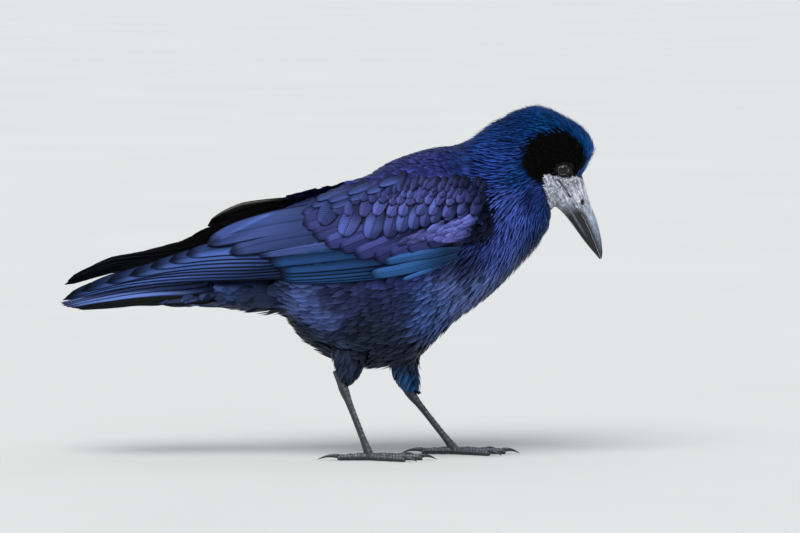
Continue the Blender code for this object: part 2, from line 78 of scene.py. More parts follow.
class Look:
    """The nodes of one finish: a material of its own, or a tree that several share."""

    def __init__(self, name, tree=None):
        if tree is None:
            self.material = bpy.data.materials.new(name)
            self.material.use_nodes = True
            tree = self.material.node_tree
            self.shader = tree.nodes["Principled BSDF"]
        self.tree = tree

    def feed(self, node, inputs):
        """Gives a node's inputs, by name or place, their numbers, colours or sockets."""
        for place, value in inputs.items():
            if isinstance(value, bpy.types.NodeSocket):
                self.tree.links.new(value, node.inputs[place])
            else:
                node.inputs[place].default_value = value

    def finish(self, **inputs):
        """Gives the shader its inputs; an underscore stands for a space. Returns the material."""
        self.feed(self.shader, {title.replace("_", " "): value for title, value in inputs.items()})
        return self.material

    def add(self, kind, inputs=None, **settings):
        """A shader node; settings name its properties."""
        made = self.tree.nodes.new("ShaderNode" + kind)
        for title, value in settings.items():
            setattr(made, title, value)
        self.feed(made, inputs or {})
        return made

    def maths(self, operation, *values):
        """One sum over sockets or numbers."""
        return self.add("Math", dict(enumerate(values)), operation=operation).outputs[0]

    def times(self, first, second):
        return self.maths("MULTIPLY", first, second)

    def plus(self, first, second):
        return self.maths("ADD", first, second)

    def minus(self, first, second):
        return self.maths("SUBTRACT", first, second)

    def ramp(self, value, *stops):
        """A colour from a value, through stops of place and colour."""
        made = self.add("ValToRGB", {"Fac": value})
        elements = made.color_ramp.elements
        while len(elements) < len(stops):
            elements.new(0.5)
        for element, (place, colour) in zip(elements, stops):
            element.position = place
            element.color = (*colour[:3], 1.0)
        return made.outputs["Color"]

    def span(self, value, low, high, start=0.0, end=1.0):
        """The value's smooth way from start, at low, to end, at high."""
        inputs = {"Value": value, "From Min": low, "From Max": high, "To Min": start, "To Max": end}
        return self.add("MapRange", inputs, interpolation_type="SMOOTHSTEP").outputs["Result"]

    def place(self):
        """The object's own coordinates."""
        return self.add("TexCoord").outputs["Object"]

    def noise(self, scale, detail=3.0, vector=None):
        """Noise over the object's own coordinates, or over a vector."""
        inputs = {"Scale": scale, "Detail": detail, "Vector": vector or self.place()}
        return self.add("TexNoise", inputs).outputs["Fac"]

    def bump(self, height, strength, distance):
        """The normal over a height."""
        inputs = {"Height": height, "Strength": strength, "Distance": distance}
        return self.add("Bump", inputs).outputs["Normal"]

    def kept(self, title, output="Fac"):
        """A value kept at each point of the mesh."""
        return self.add("Attribute", attribute_name=title).outputs[output]

    def scaled(self, colour, amount):
        """A colour made lighter or darker."""
        inputs = {0: colour, "Scale": amount}
        return self.add("VectorMath", inputs, operation="SCALE").outputs["Vector"]


floor_mesh = bpy.data.meshes.new("studio_floor")
floor_rim = [(FLOOR_REACH * math.cos(a), FLOOR_REACH * math.sin(a), 0.0)
             for a in np.linspace(0, 2 * math.pi, 65)[:-1]]
floor_mesh.from_pydata(floor_rim, [], [tuple(range(64))])
floor = bpy.data.objects.new("studio_floor", floor_mesh)
bpy.context.scene.collection.objects.link(floor)
look = Look("pale floor")
mottle = look.ramp(look.noise(3.0), (0.3, FLOOR_PALE), (0.7, FLOOR_PALER))
floor_mesh.materials.append(look.finish(Base_Color=mottle, Roughness=0.9))
floor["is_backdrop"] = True

world = bpy.data.worlds.new("pale room")
bpy.context.scene.world = world
world.use_nodes = True
background = world.node_tree.nodes["Background"]
background.inputs["Color"].default_value = ROOM_LIGHT
background.inputs["Strength"].default_value = ROOM_STRENGTH

overhead = bpy.data.lights.new("overhead_light", "SUN")
overhead.energy = OVERHEAD_STRENGTH
overhead.angle = OVERHEAD_SPREAD
overhead.color = OVERHEAD_LIGHT
light = bpy.data.objects.new("overhead_light", overhead)
light.rotation_euler = OVERHEAD_WAY.to_track_quat("-Z", "Y").to_euler()
bpy.context.scene.collection.objects.link(light)

camera = bpy.data.objects.new("long_lens", bpy.data.cameras.new("long_lens"))
camera.location = AIM + CAMERA_AWAY * Vector((0.0, -math.cos(CAMERA_RISE), math.sin(CAMERA_RISE)))
camera.rotation_euler = (AIM - camera.location).to_track_quat("-Z", "Y").to_euler()
camera.data.lens = camera.data.sensor_width * CAMERA_AWAY / VIEW_WIDTH
camera.data.clip_end = 200.0
bpy.context.scene.collection.objects.link(camera)
bpy.context.scene.camera = camera
bpy.context.scene.view_settings.view_transform = "Standard"

# --- the skin ---------------------------------------------------------------------------
# One skin over the flesh of the trunk, neck, head, bare face, tail root, thighs and folded
# arms. It lies inside them by the depth of the coat, and is bare and warty round the bill.
FLESH = ("trunk", "neck", "head", "face", "tail_base", "thigh_R", "thigh_L",
         "wing_coverts_R", "wing_coverts_L")
SKIN_GRAIN = 1.15               # size of the skin's facets
SWELL = 0.55                    # closes the parting gaps before the skin is drawn over them
FORM_GRAIN = 1.9                # the facets of the whole outer form, and its swelling
FORM_SWELL = 0.9
UNDER_FORM = 2.0                # how far the skin keeps under that form along the back
COAT_DEPTH = {"trunk": 4, "neck": 3, "head": 1.5, "face": 0.25, "tail_base": 3,
              "thigh_R": 2.6, "thigh_L": 2.6, "wing_coverts_R": 3.4, "wing_coverts_L": 3.4}
SIDES = (("R", -1), ("L", 1))
X_WAY, Y_WAY, Z_WAY = np.eye(3)
FAR_OUT = 150.0                 # well outside the bird, to either side
UNDER_WING = 3.6                # how far the skin keeps under the face of a folded wing
EYE = (158.2, 13.4, 198.0)
# the middle of the body from the tail's root to the bill, for the skin's unwrap: x, z
SPINE = ((-90, 115), (-40, 120), (0, 132), (40, 144), (75, 158),
         (100, 178), (122, 200), (145, 206), (165, 190), (176, 168))
# the bill's own frame: the middle of its root, the way it points, and the way its ridge faces
BILL_ROOT = np.array((163.0, 0.0, 181.0))
BILL_TILT = math.radians(62.5)
BILL_WAY = np.array((math.cos(BILL_TILT), 0.0, -math.sin(BILL_TILT)))
BILL_RIDGE_WAY = np.array((math.sin(BILL_TILT), 0.0, math.cos(BILL_TILT)))
BILL_LENGTH = 51.0
# the bare skin's edges seen from the side: down its back edge as z, x, and along its top as x, z
BARE_BACK = ((166, 153), (175, 149.8), (184, 146.2), (195, 145))
BARE_TOP = ((144, 195.2), (150, 195.4), (157, 193.6), (166, 193), (176, 191.8))
GAPE = ((154.4, 191.4), (159.6, 185), (163.3, 178.4), (166.2, 173.6))
GAPE_DEEP = 0.8
WART_HIGH = 0.28
NOSTRIL_LIP = 0.25
COLLAR_ENDS = (11.6, 6.6)       # how far the skin creeps along the upper and the lower horn
COLLAR_MELT = 1.1               # and how far it sinks away there
CREEP = 0.34                    # thickness of the skin that creeps over the root of the horn
NOSTRIL = (172.2, 175.4)
NOSTRIL_SIZE = (2.6, 2.0)
NOSTRIL_DEEP = 1.5
# named colours of the plumage, and dark colours painted on it as shade
CROWN_BLUE = (0.002, 0.055, 0.215)
FOREHEAD_BLUE = (0.001, 0.090, 0.360)
# painted shadow: the shade between the front of the folded wing and the breast
WING_SHADE = (0.004, 0.006, 0.022)
THIGH_BLUE = (0.026, 0.096, 0.260)
NAPE_BLUE = (0.003, 0.026, 0.125)
NAPE_SHADE = (0.009, 0.014, 0.080)
# painted shade: the far wing's inner side, in shadow, painted black on the back's feathers where it
# shows
PAINTED_FAR_WING_SHADE = (0.003, 0.004, 0.010)
# painted shade: the fold between cheek and throat, the throat's front and the lower edge of the
# underside
THROAT_SHADE = (0.001, 0.004, 0.010)
NECK_BLUE = (0.024, 0.064, 0.320)
COLLAR_BLUE = (0.085, 0.150, 0.620)
THROAT_TEAL = (0.001, 0.050, 0.145)
BREAST_INK = (0.100, 0.145, 0.370)
BREAST_BLUE = (0.060, 0.118, 0.350)
BELLY_INK = (0.018, 0.027, 0.052)
FLANK_BLUE = (0.075, 0.112, 0.310)
MANTLE_VIOLET = (0.021, 0.027, 0.150)
SHOULDER_VIOLET = (0.032, 0.044, 0.195)
RUMP_VIOLET = (0.022, 0.040, 0.140)
UNDER_WING_INK = (0.024, 0.032, 0.100)
VENT_INK = (0.017, 0.029, 0.062)
# painted shade: the plumage round the eye lies in shadow without gloss, and is painted near black
PAINTED_MASK_SHADE = (0.0020, 0.0022, 0.0018)
# where each colour sits, seen from the side: x, z, reach
PLUMAGE = (
    (166, 220, 14, CROWN_BLUE), (155, 238, 18, CROWN_BLUE),
    (178, 206, 10, FOREHEAD_BLUE), (55, 56, 9, THIGH_BLUE),
    (107, 152, 11, WING_SHADE), (97, 138, 9, WING_SHADE), (110, 168, 7, WING_SHADE),
    (128, 234, 16, NAPE_BLUE), (100, 216, 20, NAPE_BLUE),
    (112, 196, 18, NECK_BLUE), (130, 196, 9, CROWN_BLUE),
    (122, 168, 16, COLLAR_BLUE), (142, 172, 12, NECK_BLUE),
    (146, 150, 12, THROAT_TEAL), (134, 132, 14, BREAST_INK),
    (112, 150, 14, COLLAR_BLUE), (105, 118, 18, BREAST_INK),
    (78, 106, 14, BREAST_BLUE), (60, 78, 18, BELLY_INK),
    (20, 74, 22, BELLY_INK), (38, 92, 14, BELLY_INK), (-14, 82, 12, BELLY_INK),
    (20, 114, 13, UNDER_WING_INK), (52, 112, 12, UNDER_WING_INK),
    (-7, 107, 9, FLANK_BLUE), (10, 100, 9, FLANK_BLUE), (-50, 104, 18, VENT_INK),
    (-60, 128, 16, RUMP_VIOLET), (75, 208, 18, MANTLE_VIOLET),
    (96, 203, 9, NAPE_SHADE), (-14, 183, 9, PAINTED_FAR_WING_SHADE),
    (138, 181, 6, THROAT_SHADE), (147, 169, 8, THROAT_TEAL),
    (88, 92, 7, THROAT_SHADE), (102, 104, 7, THROAT_SHADE), (115, 116, 7, THROAT_SHADE),
    (126, 129, 7, THROAT_SHADE), (70, 77, 6, THROAT_SHADE),
    (144, 155, 9, THROAT_SHADE), (136, 146, 7, THROAT_SHADE), (106, 162, 8, WING_SHADE),
    (122, 178, 7, COLLAR_BLUE),
    (40, 196, 20, MANTLE_VIOLET), (0, 178, 22, SHOULDER_VIOLET),
    (86, 176, 16, SHOULDER_VIOLET), (50, 150, 20, SHOULDER_VIOLET),
)
# the black mask is that shaded plumage round the eye, painted black
MASK_PLACE = (152.5, 206.5)     # middle of the black mask round the eye, x and z
MASK_REACH = (20.5, 18.5)


def sampled(value, table):
    """Looks values up in a short table of places and amounts."""
    return np.interp(value, *zip(*table))


def eased(low, high, value):
    """0 below low, 1 above high, smooth between."""
    share = np.clip((value - low) / (high - low), 0.0, 1.0)
    return share * share * (3 - 2 * share)


def unit(vectors):
    """Vectors at length one."""
    return vectors / np.maximum(np.linalg.norm(vectors, axis=-1, keepdims=True), 1e-9)


def grainy(points, scale):
    """Even noise at each point."""
    return np.array([noise.noise(Vector(p) * scale) for p in points.tolist()])


def read(items, title, width, kind=float):
    """One row of numbers for each of a mesh's items."""
    values = np.zeros(len(items) * width, kind)
    items.foreach_get(title, values)
    return values.reshape(-1, width)


def mesh_points(mesh):
    """The mesh's points in millimetres."""
    return read(mesh.vertices, "co", 3) / MM


def mesh_normals(mesh):
    """The mesh's smooth normals."""
    return read(mesh.vertex_normals, "vector", 3)


def edge_pairs(mesh):
    """The mesh's edges as pairs of point numbers."""
    return read(mesh.edges, "vertices", 2, int)


def set_points(mesh, points):
    """Moves the mesh's points, in millimetres."""
    mesh.vertices.foreach_set("co", (points * MM).ravel())
    mesh.update()


def cad_shape(node):
    """Welded points, in millimetres, and faces of a node of the frame."""
    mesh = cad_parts[node].data
    points = mesh_points(mesh)
    _, first, back = np.unique(np.round(points, 4), axis=0, return_index=True, return_inverse=True)
    back = back.ravel()
    return points[first], [[int(back[v]) for v in face.vertices] for face in mesh.polygons]


def joined(shapes):
    """The points and faces of several shapes as one."""
    points, faces = [], []
    for shape_points, shape_faces in shapes:
        faces += [tuple(v + len(points) for v in face) for face in shape_faces]
        points += shape_points.tolist()
    return np.array(points), faces


def felt(points, faces):
    """A tree that feels along a surface."""
    return BVHTree.FromPolygons(points.tolist(), faces)


def struck(tree, side, x, z):
    """Where a line straight in from one side meets a surface, or None."""
    return tree.ray_cast((x, side * FAR_OUT, z), (0.0, -side, 0.0))[0]


def ring_round(centre, aside, upward, half_wide, half_tall, around=16):
    """A ring of points round a centre."""
    turn = np.linspace(0, 2 * math.pi, around, endpoint=False)[:, None]
    return centre + aside * half_wide * np.cos(turn) + upward * half_tall * np.sin(turn)


def loft(rings, flip=False, closed=True):
    """Points and faces of a tube through rings of equal count."""
    around = len(rings[0])
    last = (len(rings) - 1) * around
    faces = []
    for low in range(0, last, around):
        faces += [(low + a, low + (a + 1) % around, low + around + (a + 1) % around,
                   low + around + a) for a in range(around)]
    if closed:
        faces += [tuple(range(around))[::-1], tuple(range(last, last + around))]
    return np.vstack(rings), [face[::-1] for face in faces] if flip else faces


def mask_share(points):
    """1 in the patch round the eye that is painted black as shade, 0 outside it."""
    x = (points[:, 0] - MASK_PLACE[0]) / MASK_REACH[0]
    z = (points[:, 2] - MASK_PLACE[1]) / MASK_REACH[1]
    lean = x * 0.92 + z * 0.38
    rise = z * 0.92 - x * 0.38
    wide = eased(5.0, 9.0, np.abs(points[:, 1]))
    mottle = (0.5 * np.sin(points[:, 0] * 3.1 + points[:, 2] * 5.3)
              + 0.5 * np.sin(points[:, 2] * 7.7 - points[:, 0] * 2.9 + points[:, 1] * 4.1))
    reach = np.sqrt(lean ** 2 + rise ** 2) + mottle * (0.03 + 0.13 * eased(0.0, 0.7, rise))
    return (1 - eased(0.90, 1.08, reach)) * wide


def plumage_colour(points):
    """The colour of the plumage at points of the bird, with the shade round the eye painted black."""
    total = np.zeros((len(points), 3))
    weight = np.zeros((len(points), 1))
    for x, z, reach, colour in PLUMAGE:
        away = ((points[:, 0] - x) ** 2 + (points[:, 2] - z) ** 2) / reach ** 2
        share = np.exp(-away * 1.1)[:, None] + 1e-9
        total += share * np.array(colour)
        weight += share
    colour = total / weight
    mask = mask_share(points)[:, None]
    return colour * (1 - mask) + np.array(PAINTED_MASK_SHADE) * mask


def put(name, mesh, material):
    """A smooth object of a mesh, in the scene."""
    mesh.materials.clear()
    mesh.materials.append(material)
    mesh.polygons.foreach_set("use_smooth", [True] * len(mesh.polygons))
    made = bpy.data.objects.new(name, mesh)
    bpy.context.scene.collection.objects.link(made)
    return made


def build_mesh(name, shape, material):
    """An object of a shape's points, in millimetres, and faces."""
    mesh = bpy.data.meshes.new(name)
    mesh.from_pydata((shape[0] * MM).tolist(), [], shape[1])
    return put(name, mesh, material)


def keep(mesh, title, values):
    """Keeps a number or a colour at each point, for the material to read."""
    values = np.asarray(values, np.float32)
    if values.ndim == 1:
        mesh.attributes.new(title, "FLOAT", "POINT").data.foreach_set("value", values)
        return
    full = np.ones((len(values), 4), np.float32)
    full[:, :3] = values
    mesh.attributes.new(title, "FLOAT_COLOR", "POINT").data.foreach_set("color", full.ravel())


def lay_out(mesh, title, places):
    """Writes an unwrap that has one place for each point."""
    corners = read(mesh.loops, "vertex_index", 1, int).ravel()
    layer = mesh.uv_layers.new(name=title)
    layer.data.foreach_set("uv", places[corners].astype(np.float32).ravel())


def spread(values, pairs, times, amount=0.5):
    """Evens values out over a mesh's edges."""
    values = np.array(values, float)
    count = np.bincount(pairs.ravel(), minlength=len(values)).clip(1)
    flat = values.reshape(len(values), -1)
    for _ in range(times):
        mean = np.empty_like(flat)
        for column in range(flat.shape[1]):
            near = np.bincount(pairs[:, 0], flat[pairs[:, 1], column], len(flat))
            near += np.bincount(pairs[:, 1], flat[pairs[:, 0], column], len(flat))
            mean[:, column] = near / count
        flat = flat + (mean - flat) * amount
    return flat.reshape(values.shape)


def even_out(mesh, rounds, inward, outward):
    """Smooths a mesh's facets without shrinking it."""
    pairs = edge_pairs(mesh)
    points = mesh_points(mesh)
    for _ in range(rounds):
        points = spread(spread(points, pairs, 1, inward), pairs, 1, -outward)
    set_points(mesh, points)


def swollen(shape, swell):
    """A shape with every point moved outwards."""
    mesh = bpy.data.meshes.new("scrap")
    mesh.from_pydata(shape[0].tolist(), [], shape[1])
    normals = mesh_normals(mesh)
    bpy.data.meshes.remove(mesh)
    return shape[0] + normals * swell, shape[1]


def remeshed(name, shapes, grain, swell, material, rounds):
    """One closed even mesh round several solids, its facets smoothed."""
    rough = build_mesh("scrap", joined(swollen(shape, swell) for shape in shapes), material)
    remesh = rough.modifiers.new("even", "REMESH")
    remesh.mode = "VOXEL"
    remesh.voxel_size = grain * MM
    shown = rough.evaluated_get(bpy.context.evaluated_depsgraph_get())
    mesh = bpy.data.meshes.new_from_object(shown)
    bpy.data.objects.remove(rough)
    mesh.name = name
    even_out(mesh, rounds, 0.62, 0.64)
    return put(name, mesh, material)


def surface(mesh, points, normals):
    """A mesh to feel along: its tree, and its faces' corners, ways out and middles."""
    faces = [tuple(face.vertices) for face in mesh.polygons]
    corners = np.array([face if len(face) == 4 else (*face, face[0]) for face in faces])
    return (felt(points, faces), corners, unit(normals[corners].mean(axis=1)),
            points[corners].mean(axis=1))


spine_line = np.array(SPINE)
spine_run = np.concatenate(([0.0], np.cumsum(np.linalg.norm(np.diff(spine_line, axis=0), axis=1))))


def unwrap(points):
    """A place on the skin's unwrap: how far along the spine, and the angle round it."""
    best = np.full(len(points), 1e9)
    run = np.zeros(len(points))
    angle = np.zeros(len(points))
    for s in range(len(spine_line) - 1):
        start, end = spine_line[s], spine_line[s + 1]
        along = (end - start) / np.linalg.norm(end - start)
        flat = points[:, [0, 2]] - start
        share = np.clip(flat @ along, 0.0, np.linalg.norm(end - start))
        rest = flat - share[:, None] * along
        away = np.linalg.norm(rest, axis=1)
        height = rest @ np.array((-along[1], along[0]))
        nearer = away < best
        best = np.where(nearer, away, best)
        run = np.where(nearer, spine_run[s] + share, run)
        angle = np.where(nearer, np.arctan2(points[:, 1], -height), angle)
    return np.stack((0.03 + 0.94 * run / spine_run[-1], 0.5 + angle / (2.14 * math.pi)), axis=1)


def refine(mesh, chosen, cuts):
    """Cuts the chosen part of a mesh into finer faces, and evens it."""
    shape = bmesh.new()
    shape.from_mesh(mesh)
    shape.verts.ensure_lookup_table()
    edges = [e for e in shape.edges if chosen[e.verts[0].index] and chosen[e.verts[1].index]]
    bmesh.ops.subdivide_edges(shape, edges=edges, cuts=cuts, use_grid_fill=True)
    bmesh.ops.triangulate(shape, faces=[f for f in shape.faces if len(f.verts) > 4])
    shape.to_mesh(mesh)
    shape.free()
    even_out(mesh, 6, 0.60, 0.61)
    mesh.polygons.foreach_set("use_smooth", [True] * len(mesh.polygons))


def horn_collar(node, reach):
    """The root of a bill sheath, cut off at its reach, where bare skin creeps over the horn."""
    points, faces = cad_shape(node)
    past = np.maximum((points - BILL_ROOT) @ BILL_WAY - reach, 0.0)
    return points - BILL_WAY * past[:, None], faces


def bare_cover(points):
    """1 on the bare skin round the bill, 0 under the feathers."""
    x, y, z = points.T
    ragged = 0.45 * np.sin(x * 2.1 + z * 1.3) + 0.35 * np.sin(z * 3.7 - x * 0.9 + y)
    behind = x - sampled(z, BARE_BACK) + ragged
    under = sampled(x, BARE_TOP) - z + ragged - 1.2 * eased(7.0, 3.0, np.abs(y))
    return eased(-0.7, 0.7, np.minimum(behind, under))


def nostril_pit(points):
    """1 inside the nostril, and 1 on the lip round it."""
    away = np.sqrt(((points[:, 0] - NOSTRIL[0]) / NOSTRIL_SIZE[1]) ** 2
                   + ((points[:, 2] - NOSTRIL[1]) / NOSTRIL_SIZE[0]) ** 2)
    beside = eased(1.0, 2.4, np.abs(points[:, 1]))
    return (1 - eased(0.60, 1.05, away)) * beside, np.exp(-((away - 1.30) / 0.25) ** 2) * beside


def along_bill(look, stretch):
    """The object's coordinates, drawn out along the bill."""
    inputs = {"Vector": look.place(), "Rotation": (0.0, BILL_TILT, 0.0), "Scale": (stretch, 1.0, 1.0)}
    return look.add("Mapping", inputs, vector_type="TEXTURE").outputs["Vector"]


# the bare skin's pale horny warts, and the dark skin under the feathers, near black so that it also
# stands for the shade in the gaps between them
BARE_PALE = (0.740, 0.760, 0.880)
HORN_PALE = (0.560, 0.600, 0.720)
UNDER_DARK = (0.010, 0.011, 0.014)
look = Look("skin")
wart = look.noise(1500.0, 4.0)
fleck = look.noise(520.0)
streak = look.noise(700.0, 3.0, along_bill(look, 6.0))
shade = look.times(look.span(wart, 0.30, 0.62, 0.84, 1.06), look.span(fleck, 0.32, 0.60, 0.74, 1.06))
shade = look.times(shade, look.span(streak, 0.38, 0.60, 0.40, 1.15))
skin_material = look.finish(
    Base_Color=look.scaled(look.kept("Tone", "Color"), shade), Roughness=0.62,
    Specular_IOR_Level=0.22, Normal=look.bump(look.plus(wart, fleck), 0.9, 0.0005))

flesh_shapes = {node: cad_shape(node) for node in FLESH}
skin = remeshed("skin", [*flesh_shapes.values(), horn_collar("bill_upper", 15.0),
                         horn_collar("bill_lower", 10.0)], SKIN_GRAIN, SWELL, skin_material, 26)
skin_mesh = skin.data
x, _, z = mesh_points(skin_mesh).T
# the bare face is cut finer, for its warts and its nostrils
refine(skin_mesh, (x > 142.5) & (z > 158) & (z < 197) & (x + 0.6 * (z - 170) > 143), 2)
skin_pairs = edge_pairs(skin_mesh)
skin_points = mesh_points(skin_mesh)

# which part of the flesh each point of the skin covers
flesh_owner = []
for number, (_, faces) in enumerate(flesh_shapes.values()):
    flesh_owner += [number] * len(faces)
flesh_tree = felt(*joined(flesh_shapes.values()))
skin_owner = np.array([flesh_owner[flesh_tree.find_nearest(p)[2]] for p in skin_points.tolist()])
depths = np.array([COAT_DEPTH[node] for node in FLESH])
# it lies as deep as the coat is thick, but nearly at the surface where it is bare
bare_share = bare_cover(skin_points)
skin_depth = spread(depths[skin_owner], skin_pairs, 14)
over_horn = eased(0.5, 3.0, (skin_points - BILL_ROOT) @ BILL_WAY)
bare_depth = COAT_DEPTH["face"] * (1 - over_horn) - CREEP * over_horn
skin_depth = skin_depth * (1 - bare_share) + bare_depth * bare_share
coat_points = skin_points - mesh_normals(skin_mesh) * SWELL
skin_normals = spread(mesh_normals(skin_mesh), skin_pairs, 4)
set_points(skin_mesh, coat_points - skin_normals * skin_depth[:, None])
skin_points = mesh_points(skin_mesh)
# the skin keeps well under the faces of the folded wings
sunk = np.zeros(len(skin_points), bool)
for letter, side in SIDES:
    wing_tree = felt(*joined(cad_shape(node + letter) for node in
                             ("wing_coverts_", "wing_secondaries_")))
    for number in np.nonzero(side * skin_points[:, 1] > 5)[0].tolist():
        x, y, z = skin_points[number].tolist()
        for step_x, step_z in ((0, 0), (2.2, 0), (-2.2, 0), (0, 2.2), (0, -2.2)):
            hit = struck(wing_tree, side, x + step_x, z + step_z)
            if hit is not None:
                if side * y > side * hit[1] - UNDER_WING:
                    skin_points[number, 1] = hit[1] - side * UNDER_WING
                    sunk[number] = True
                break
eased_points = spread(skin_points, skin_pairs, 6)
skin_points[sunk] = eased_points[sunk]
# the wedge of coverts under the tail: x, half width, bottom, top
VENT_WEDGE = ((-80, 22, 104.9, 118), (-95, 23, 104.8, 112.6),
              (-110, 24.2, 104.8, 109.4), (-124, 24.8, 105.2, 107))
wedge = loft([ring_round(np.array((x, 0.0, (bottom + top) / 2)), Y_WAY, Z_WAY, half,
                         (top - bottom) / 2, 24) for x, half, bottom, top in VENT_WEDGE])
# the whole outer form, wings and tail included, for the back's feathers to lie over; it is
# only felt along, and taken away again
form_shapes = [*flesh_shapes.values(), *(cad_shape(node) for node in
               ("wing_secondaries_R", "wing_secondaries_L", "tail")), wedge]
form = remeshed("form", form_shapes, FORM_GRAIN, FORM_SWELL, skin_material, 30)
form_normals = unit(spread(mesh_normals(form.data), edge_pairs(form.data), 5))
form_tree, _, form_ups, form_centres = surface(
    form.data, mesh_points(form.data) - form_normals * FORM_SWELL, form_normals)
bpy.data.objects.remove(form)
FORM = (form_tree, form_ups)
# the skin keeps under that form too, also at the wings' thin upper edges
on_top = (np.abs(skin_points[:, 0]) < 60) & (skin_points[:, 2] > 165)
for rounds in (24, 8, 0):
    sunk = np.zeros(len(skin_points), bool)
    for number in np.nonzero(on_top)[0].tolist():
        place, _, index, _ = form_tree.find_nearest(skin_points[number].tolist())
        over = (skin_points[number] - np.array(place)) @ form_ups[index]
        if over > -UNDER_FORM:
            skin_points[number] -= form_ups[index] * (over + UNDER_FORM)
            sunk[number] = True
    eased_points = spread(skin_points, skin_pairs, rounds) if rounds else skin_points
    skin_points[sunk] = eased_points[sunk]
set_points(skin_mesh, skin_points)
skin_normals = unit(spread(mesh_normals(skin_mesh), skin_pairs, 3))

# the bare face: the gape's groove, the nostrils, warts, and the ragged end over the horn
bare_tone = np.array(BARE_PALE) * (1 - 0.25 * eased(176.0, 166.0, skin_points[:, 2]))[:, None]
gape_away = np.full(len(skin_points), np.inf)
for start, end in zip(np.array(GAPE), np.array(GAPE)[1:]):
    flat = skin_points[:, [0, 2]] - start
    reach = end - start
    share = np.clip(flat @ reach / (reach @ reach), 0, 1)
    gape_away = np.minimum(gape_away, np.linalg.norm(flat - share[:, None] * reach, axis=1))
on_side = eased(3.0, 5.0, np.abs(skin_points[:, 1])) * bare_share
groove = np.exp(-(gape_away / 0.55) ** 2) * on_side
pit, lip = nostril_pit(skin_points)
warts = grainy(skin_points, 1.1) + 0.6 * grainy(skin_points, 2.3)
collar_end = (skin_points - BILL_ROOT) @ BILL_WAY + 2.6 * warts
height = (skin_points - BILL_ROOT) @ BILL_RIDGE_WAY
collar_end = collar_end - np.where(height > -1.0, *COLLAR_ENDS)
melt = eased(0.0, 1.8, collar_end)
sink = (bare_share * (0.10 - WART_HIGH * warts) + GAPE_DEEP * groove + 2 * NOSTRIL_DEEP * pit
        - NOSTRIL_LIP * lip + COLLAR_MELT * melt)
skin_points = skin_points - skin_normals * sink[:, None]
set_points(skin_mesh, skin_points)
skin_normals = unit(spread(mesh_normals(skin_mesh), skin_pairs, 3))
# its colour: worn in patches, painted shade in the gape's groove and down the nostrils, darker between
# the warts, greyer towards the horn
worn = 1 - 0.45 * eased(0.0, 0.35, grainy(skin_points, 0.42)) * eased(6.0, 0.0, height)
# painted shade: the gape's groove is darkened
bare_tone = bare_tone * ((1 - 0.88 * groove - 0.35 * eased(0.1, 0.6, -warts)) * worn)[:, None]
# painted shade: the nostril's pit is painted near black
bare_tone = bare_tone * (1 - 0.97 * pit)[:, None]
to_horn = eased(-5.0, 0.0, collar_end)[:, None] * (1 - pit)[:, None]
bare_tone = bare_tone * (1 - 0.6 * to_horn) + np.array(HORN_PALE) * 0.60 * to_horn
under_tone = np.array(UNDER_DARK) * 0.6 + plumage_colour(skin_points) * 0.35
bare_edge = eased(0.35, 0.65, bare_share)[:, None]
keep(skin_mesh, "Tone", bare_tone * bare_edge + under_tone * (1 - bare_edge))
lay_out(skin_mesh, "OFBake", unwrap(skin_points))
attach(skin, "root")
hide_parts(*FLESH)

skin_tree, skin_corners, face_normals, face_centres = surface(skin_mesh, skin_points, skin_normals)
face_depth = skin_depth[skin_corners].mean(axis=1)

# --- the small feathers of the body -----------------------------------------------------
# Thousands of thin overlapping vanes, each rooted in the skin and lying back along the
# body: short feathers round the eye painted black and dull as shade, narrow hackles on the neck, broad
# rounded feathers elsewhere.

# which way the coat lies, seen from the side: x, z, and the way towards the tip
LIE = (
    (177, 200, 0.35, 0.94), (180, 213, -0.30, 0.95), (170, 228, -0.88, 0.47),
    (150, 239, -1, 0.05), (132, 240, -0.93, -0.36), (119, 235, -0.85, -0.53),
    (100, 223, -0.87, -0.49), (84, 214, -0.98, -0.20), (160, 190, -1, 0.15),
    (145, 200, -0.95, -0.30), (150, 182, -0.90, -0.45), (109, 211, -1, 0.02),
    (116, 190, -0.95, -0.30), (122, 176, -0.70, -0.70), (136, 163, -0.35, -0.94),
    (143, 152, -0.10, -1), (150, 165, -0.15, -1), (130, 130, -0.65, -0.76),
    (105, 108, -0.75, -0.66), (80, 88, -0.80, -0.60), (50, 65, -0.97, -0.25),
    (20, 62, -1, 0), (-5, 72, -0.90, 0.40), (-25, 92, -0.95, 0.30),
    (50, 110, -0.90, -0.40), (10, 100, -0.92, -0.38), (-15, 95, -1, -0.10),
    (-60, 101, -1, -0.05), (60, 205, -0.95, -0.25), (20, 190, -0.86, -0.50),
    (75, 200, -0.90, -0.40), (-20, 168, -0.86, -0.50), (-60, 140, -0.95, -0.30),
    (60, 160, -0.85, -0.50), (90, 165, -0.80, -0.60), (30, 150, -0.90, -0.42),
)
THIGH_LIE = (-0.25, -0.97)
LIE_REACH = 9.0
# the feathers of each tract: length, width, spacing, how pointed, and how far tips stand up
TRACTS = {
    "mask": (4.6, 1.7, 1, 0.8, 0.30),
    "crown": (6.2, 1.3, 1.1, 0.9, 1.20),
    "hackle": (9.5, 1.8, 1.6, 1, 1.10),
    "throat": (8, 1.7, 1.6, 1, 0.50),
    "breast": (14.5, 5, 2.9, 0.42, 0.30),
    "belly": (18, 5.8, 3.3, 0.46, 0.45),
    "thigh": (10, 4.2, 2.6, 0.40, 0.30),
    "mantle": (19, 11, 4.6, 0.10, 0.20),
    "arm": (10, 7, 3.6, 0.10, 0.10),
    "rump": (20, 10, 4.6, 0.15, 0.20),
    "bare": (2.5, 0.8, 1.6, 1, 0.10),
}
TRACT = {name: number for number, name in enumerate(TRACTS)}
PATCH_SIZE = 0.003              # of a small feather on the unwrap
COAT_SEED = 41
EYE_CLEAR = 4.5                 # how far from the eye's middle the feathers begin
WING_EDGE = ((-34, 124.6), (62, 131.5))    # just over the folded wing's lower edge: x, z

lie_places = np.array(LIE, float)


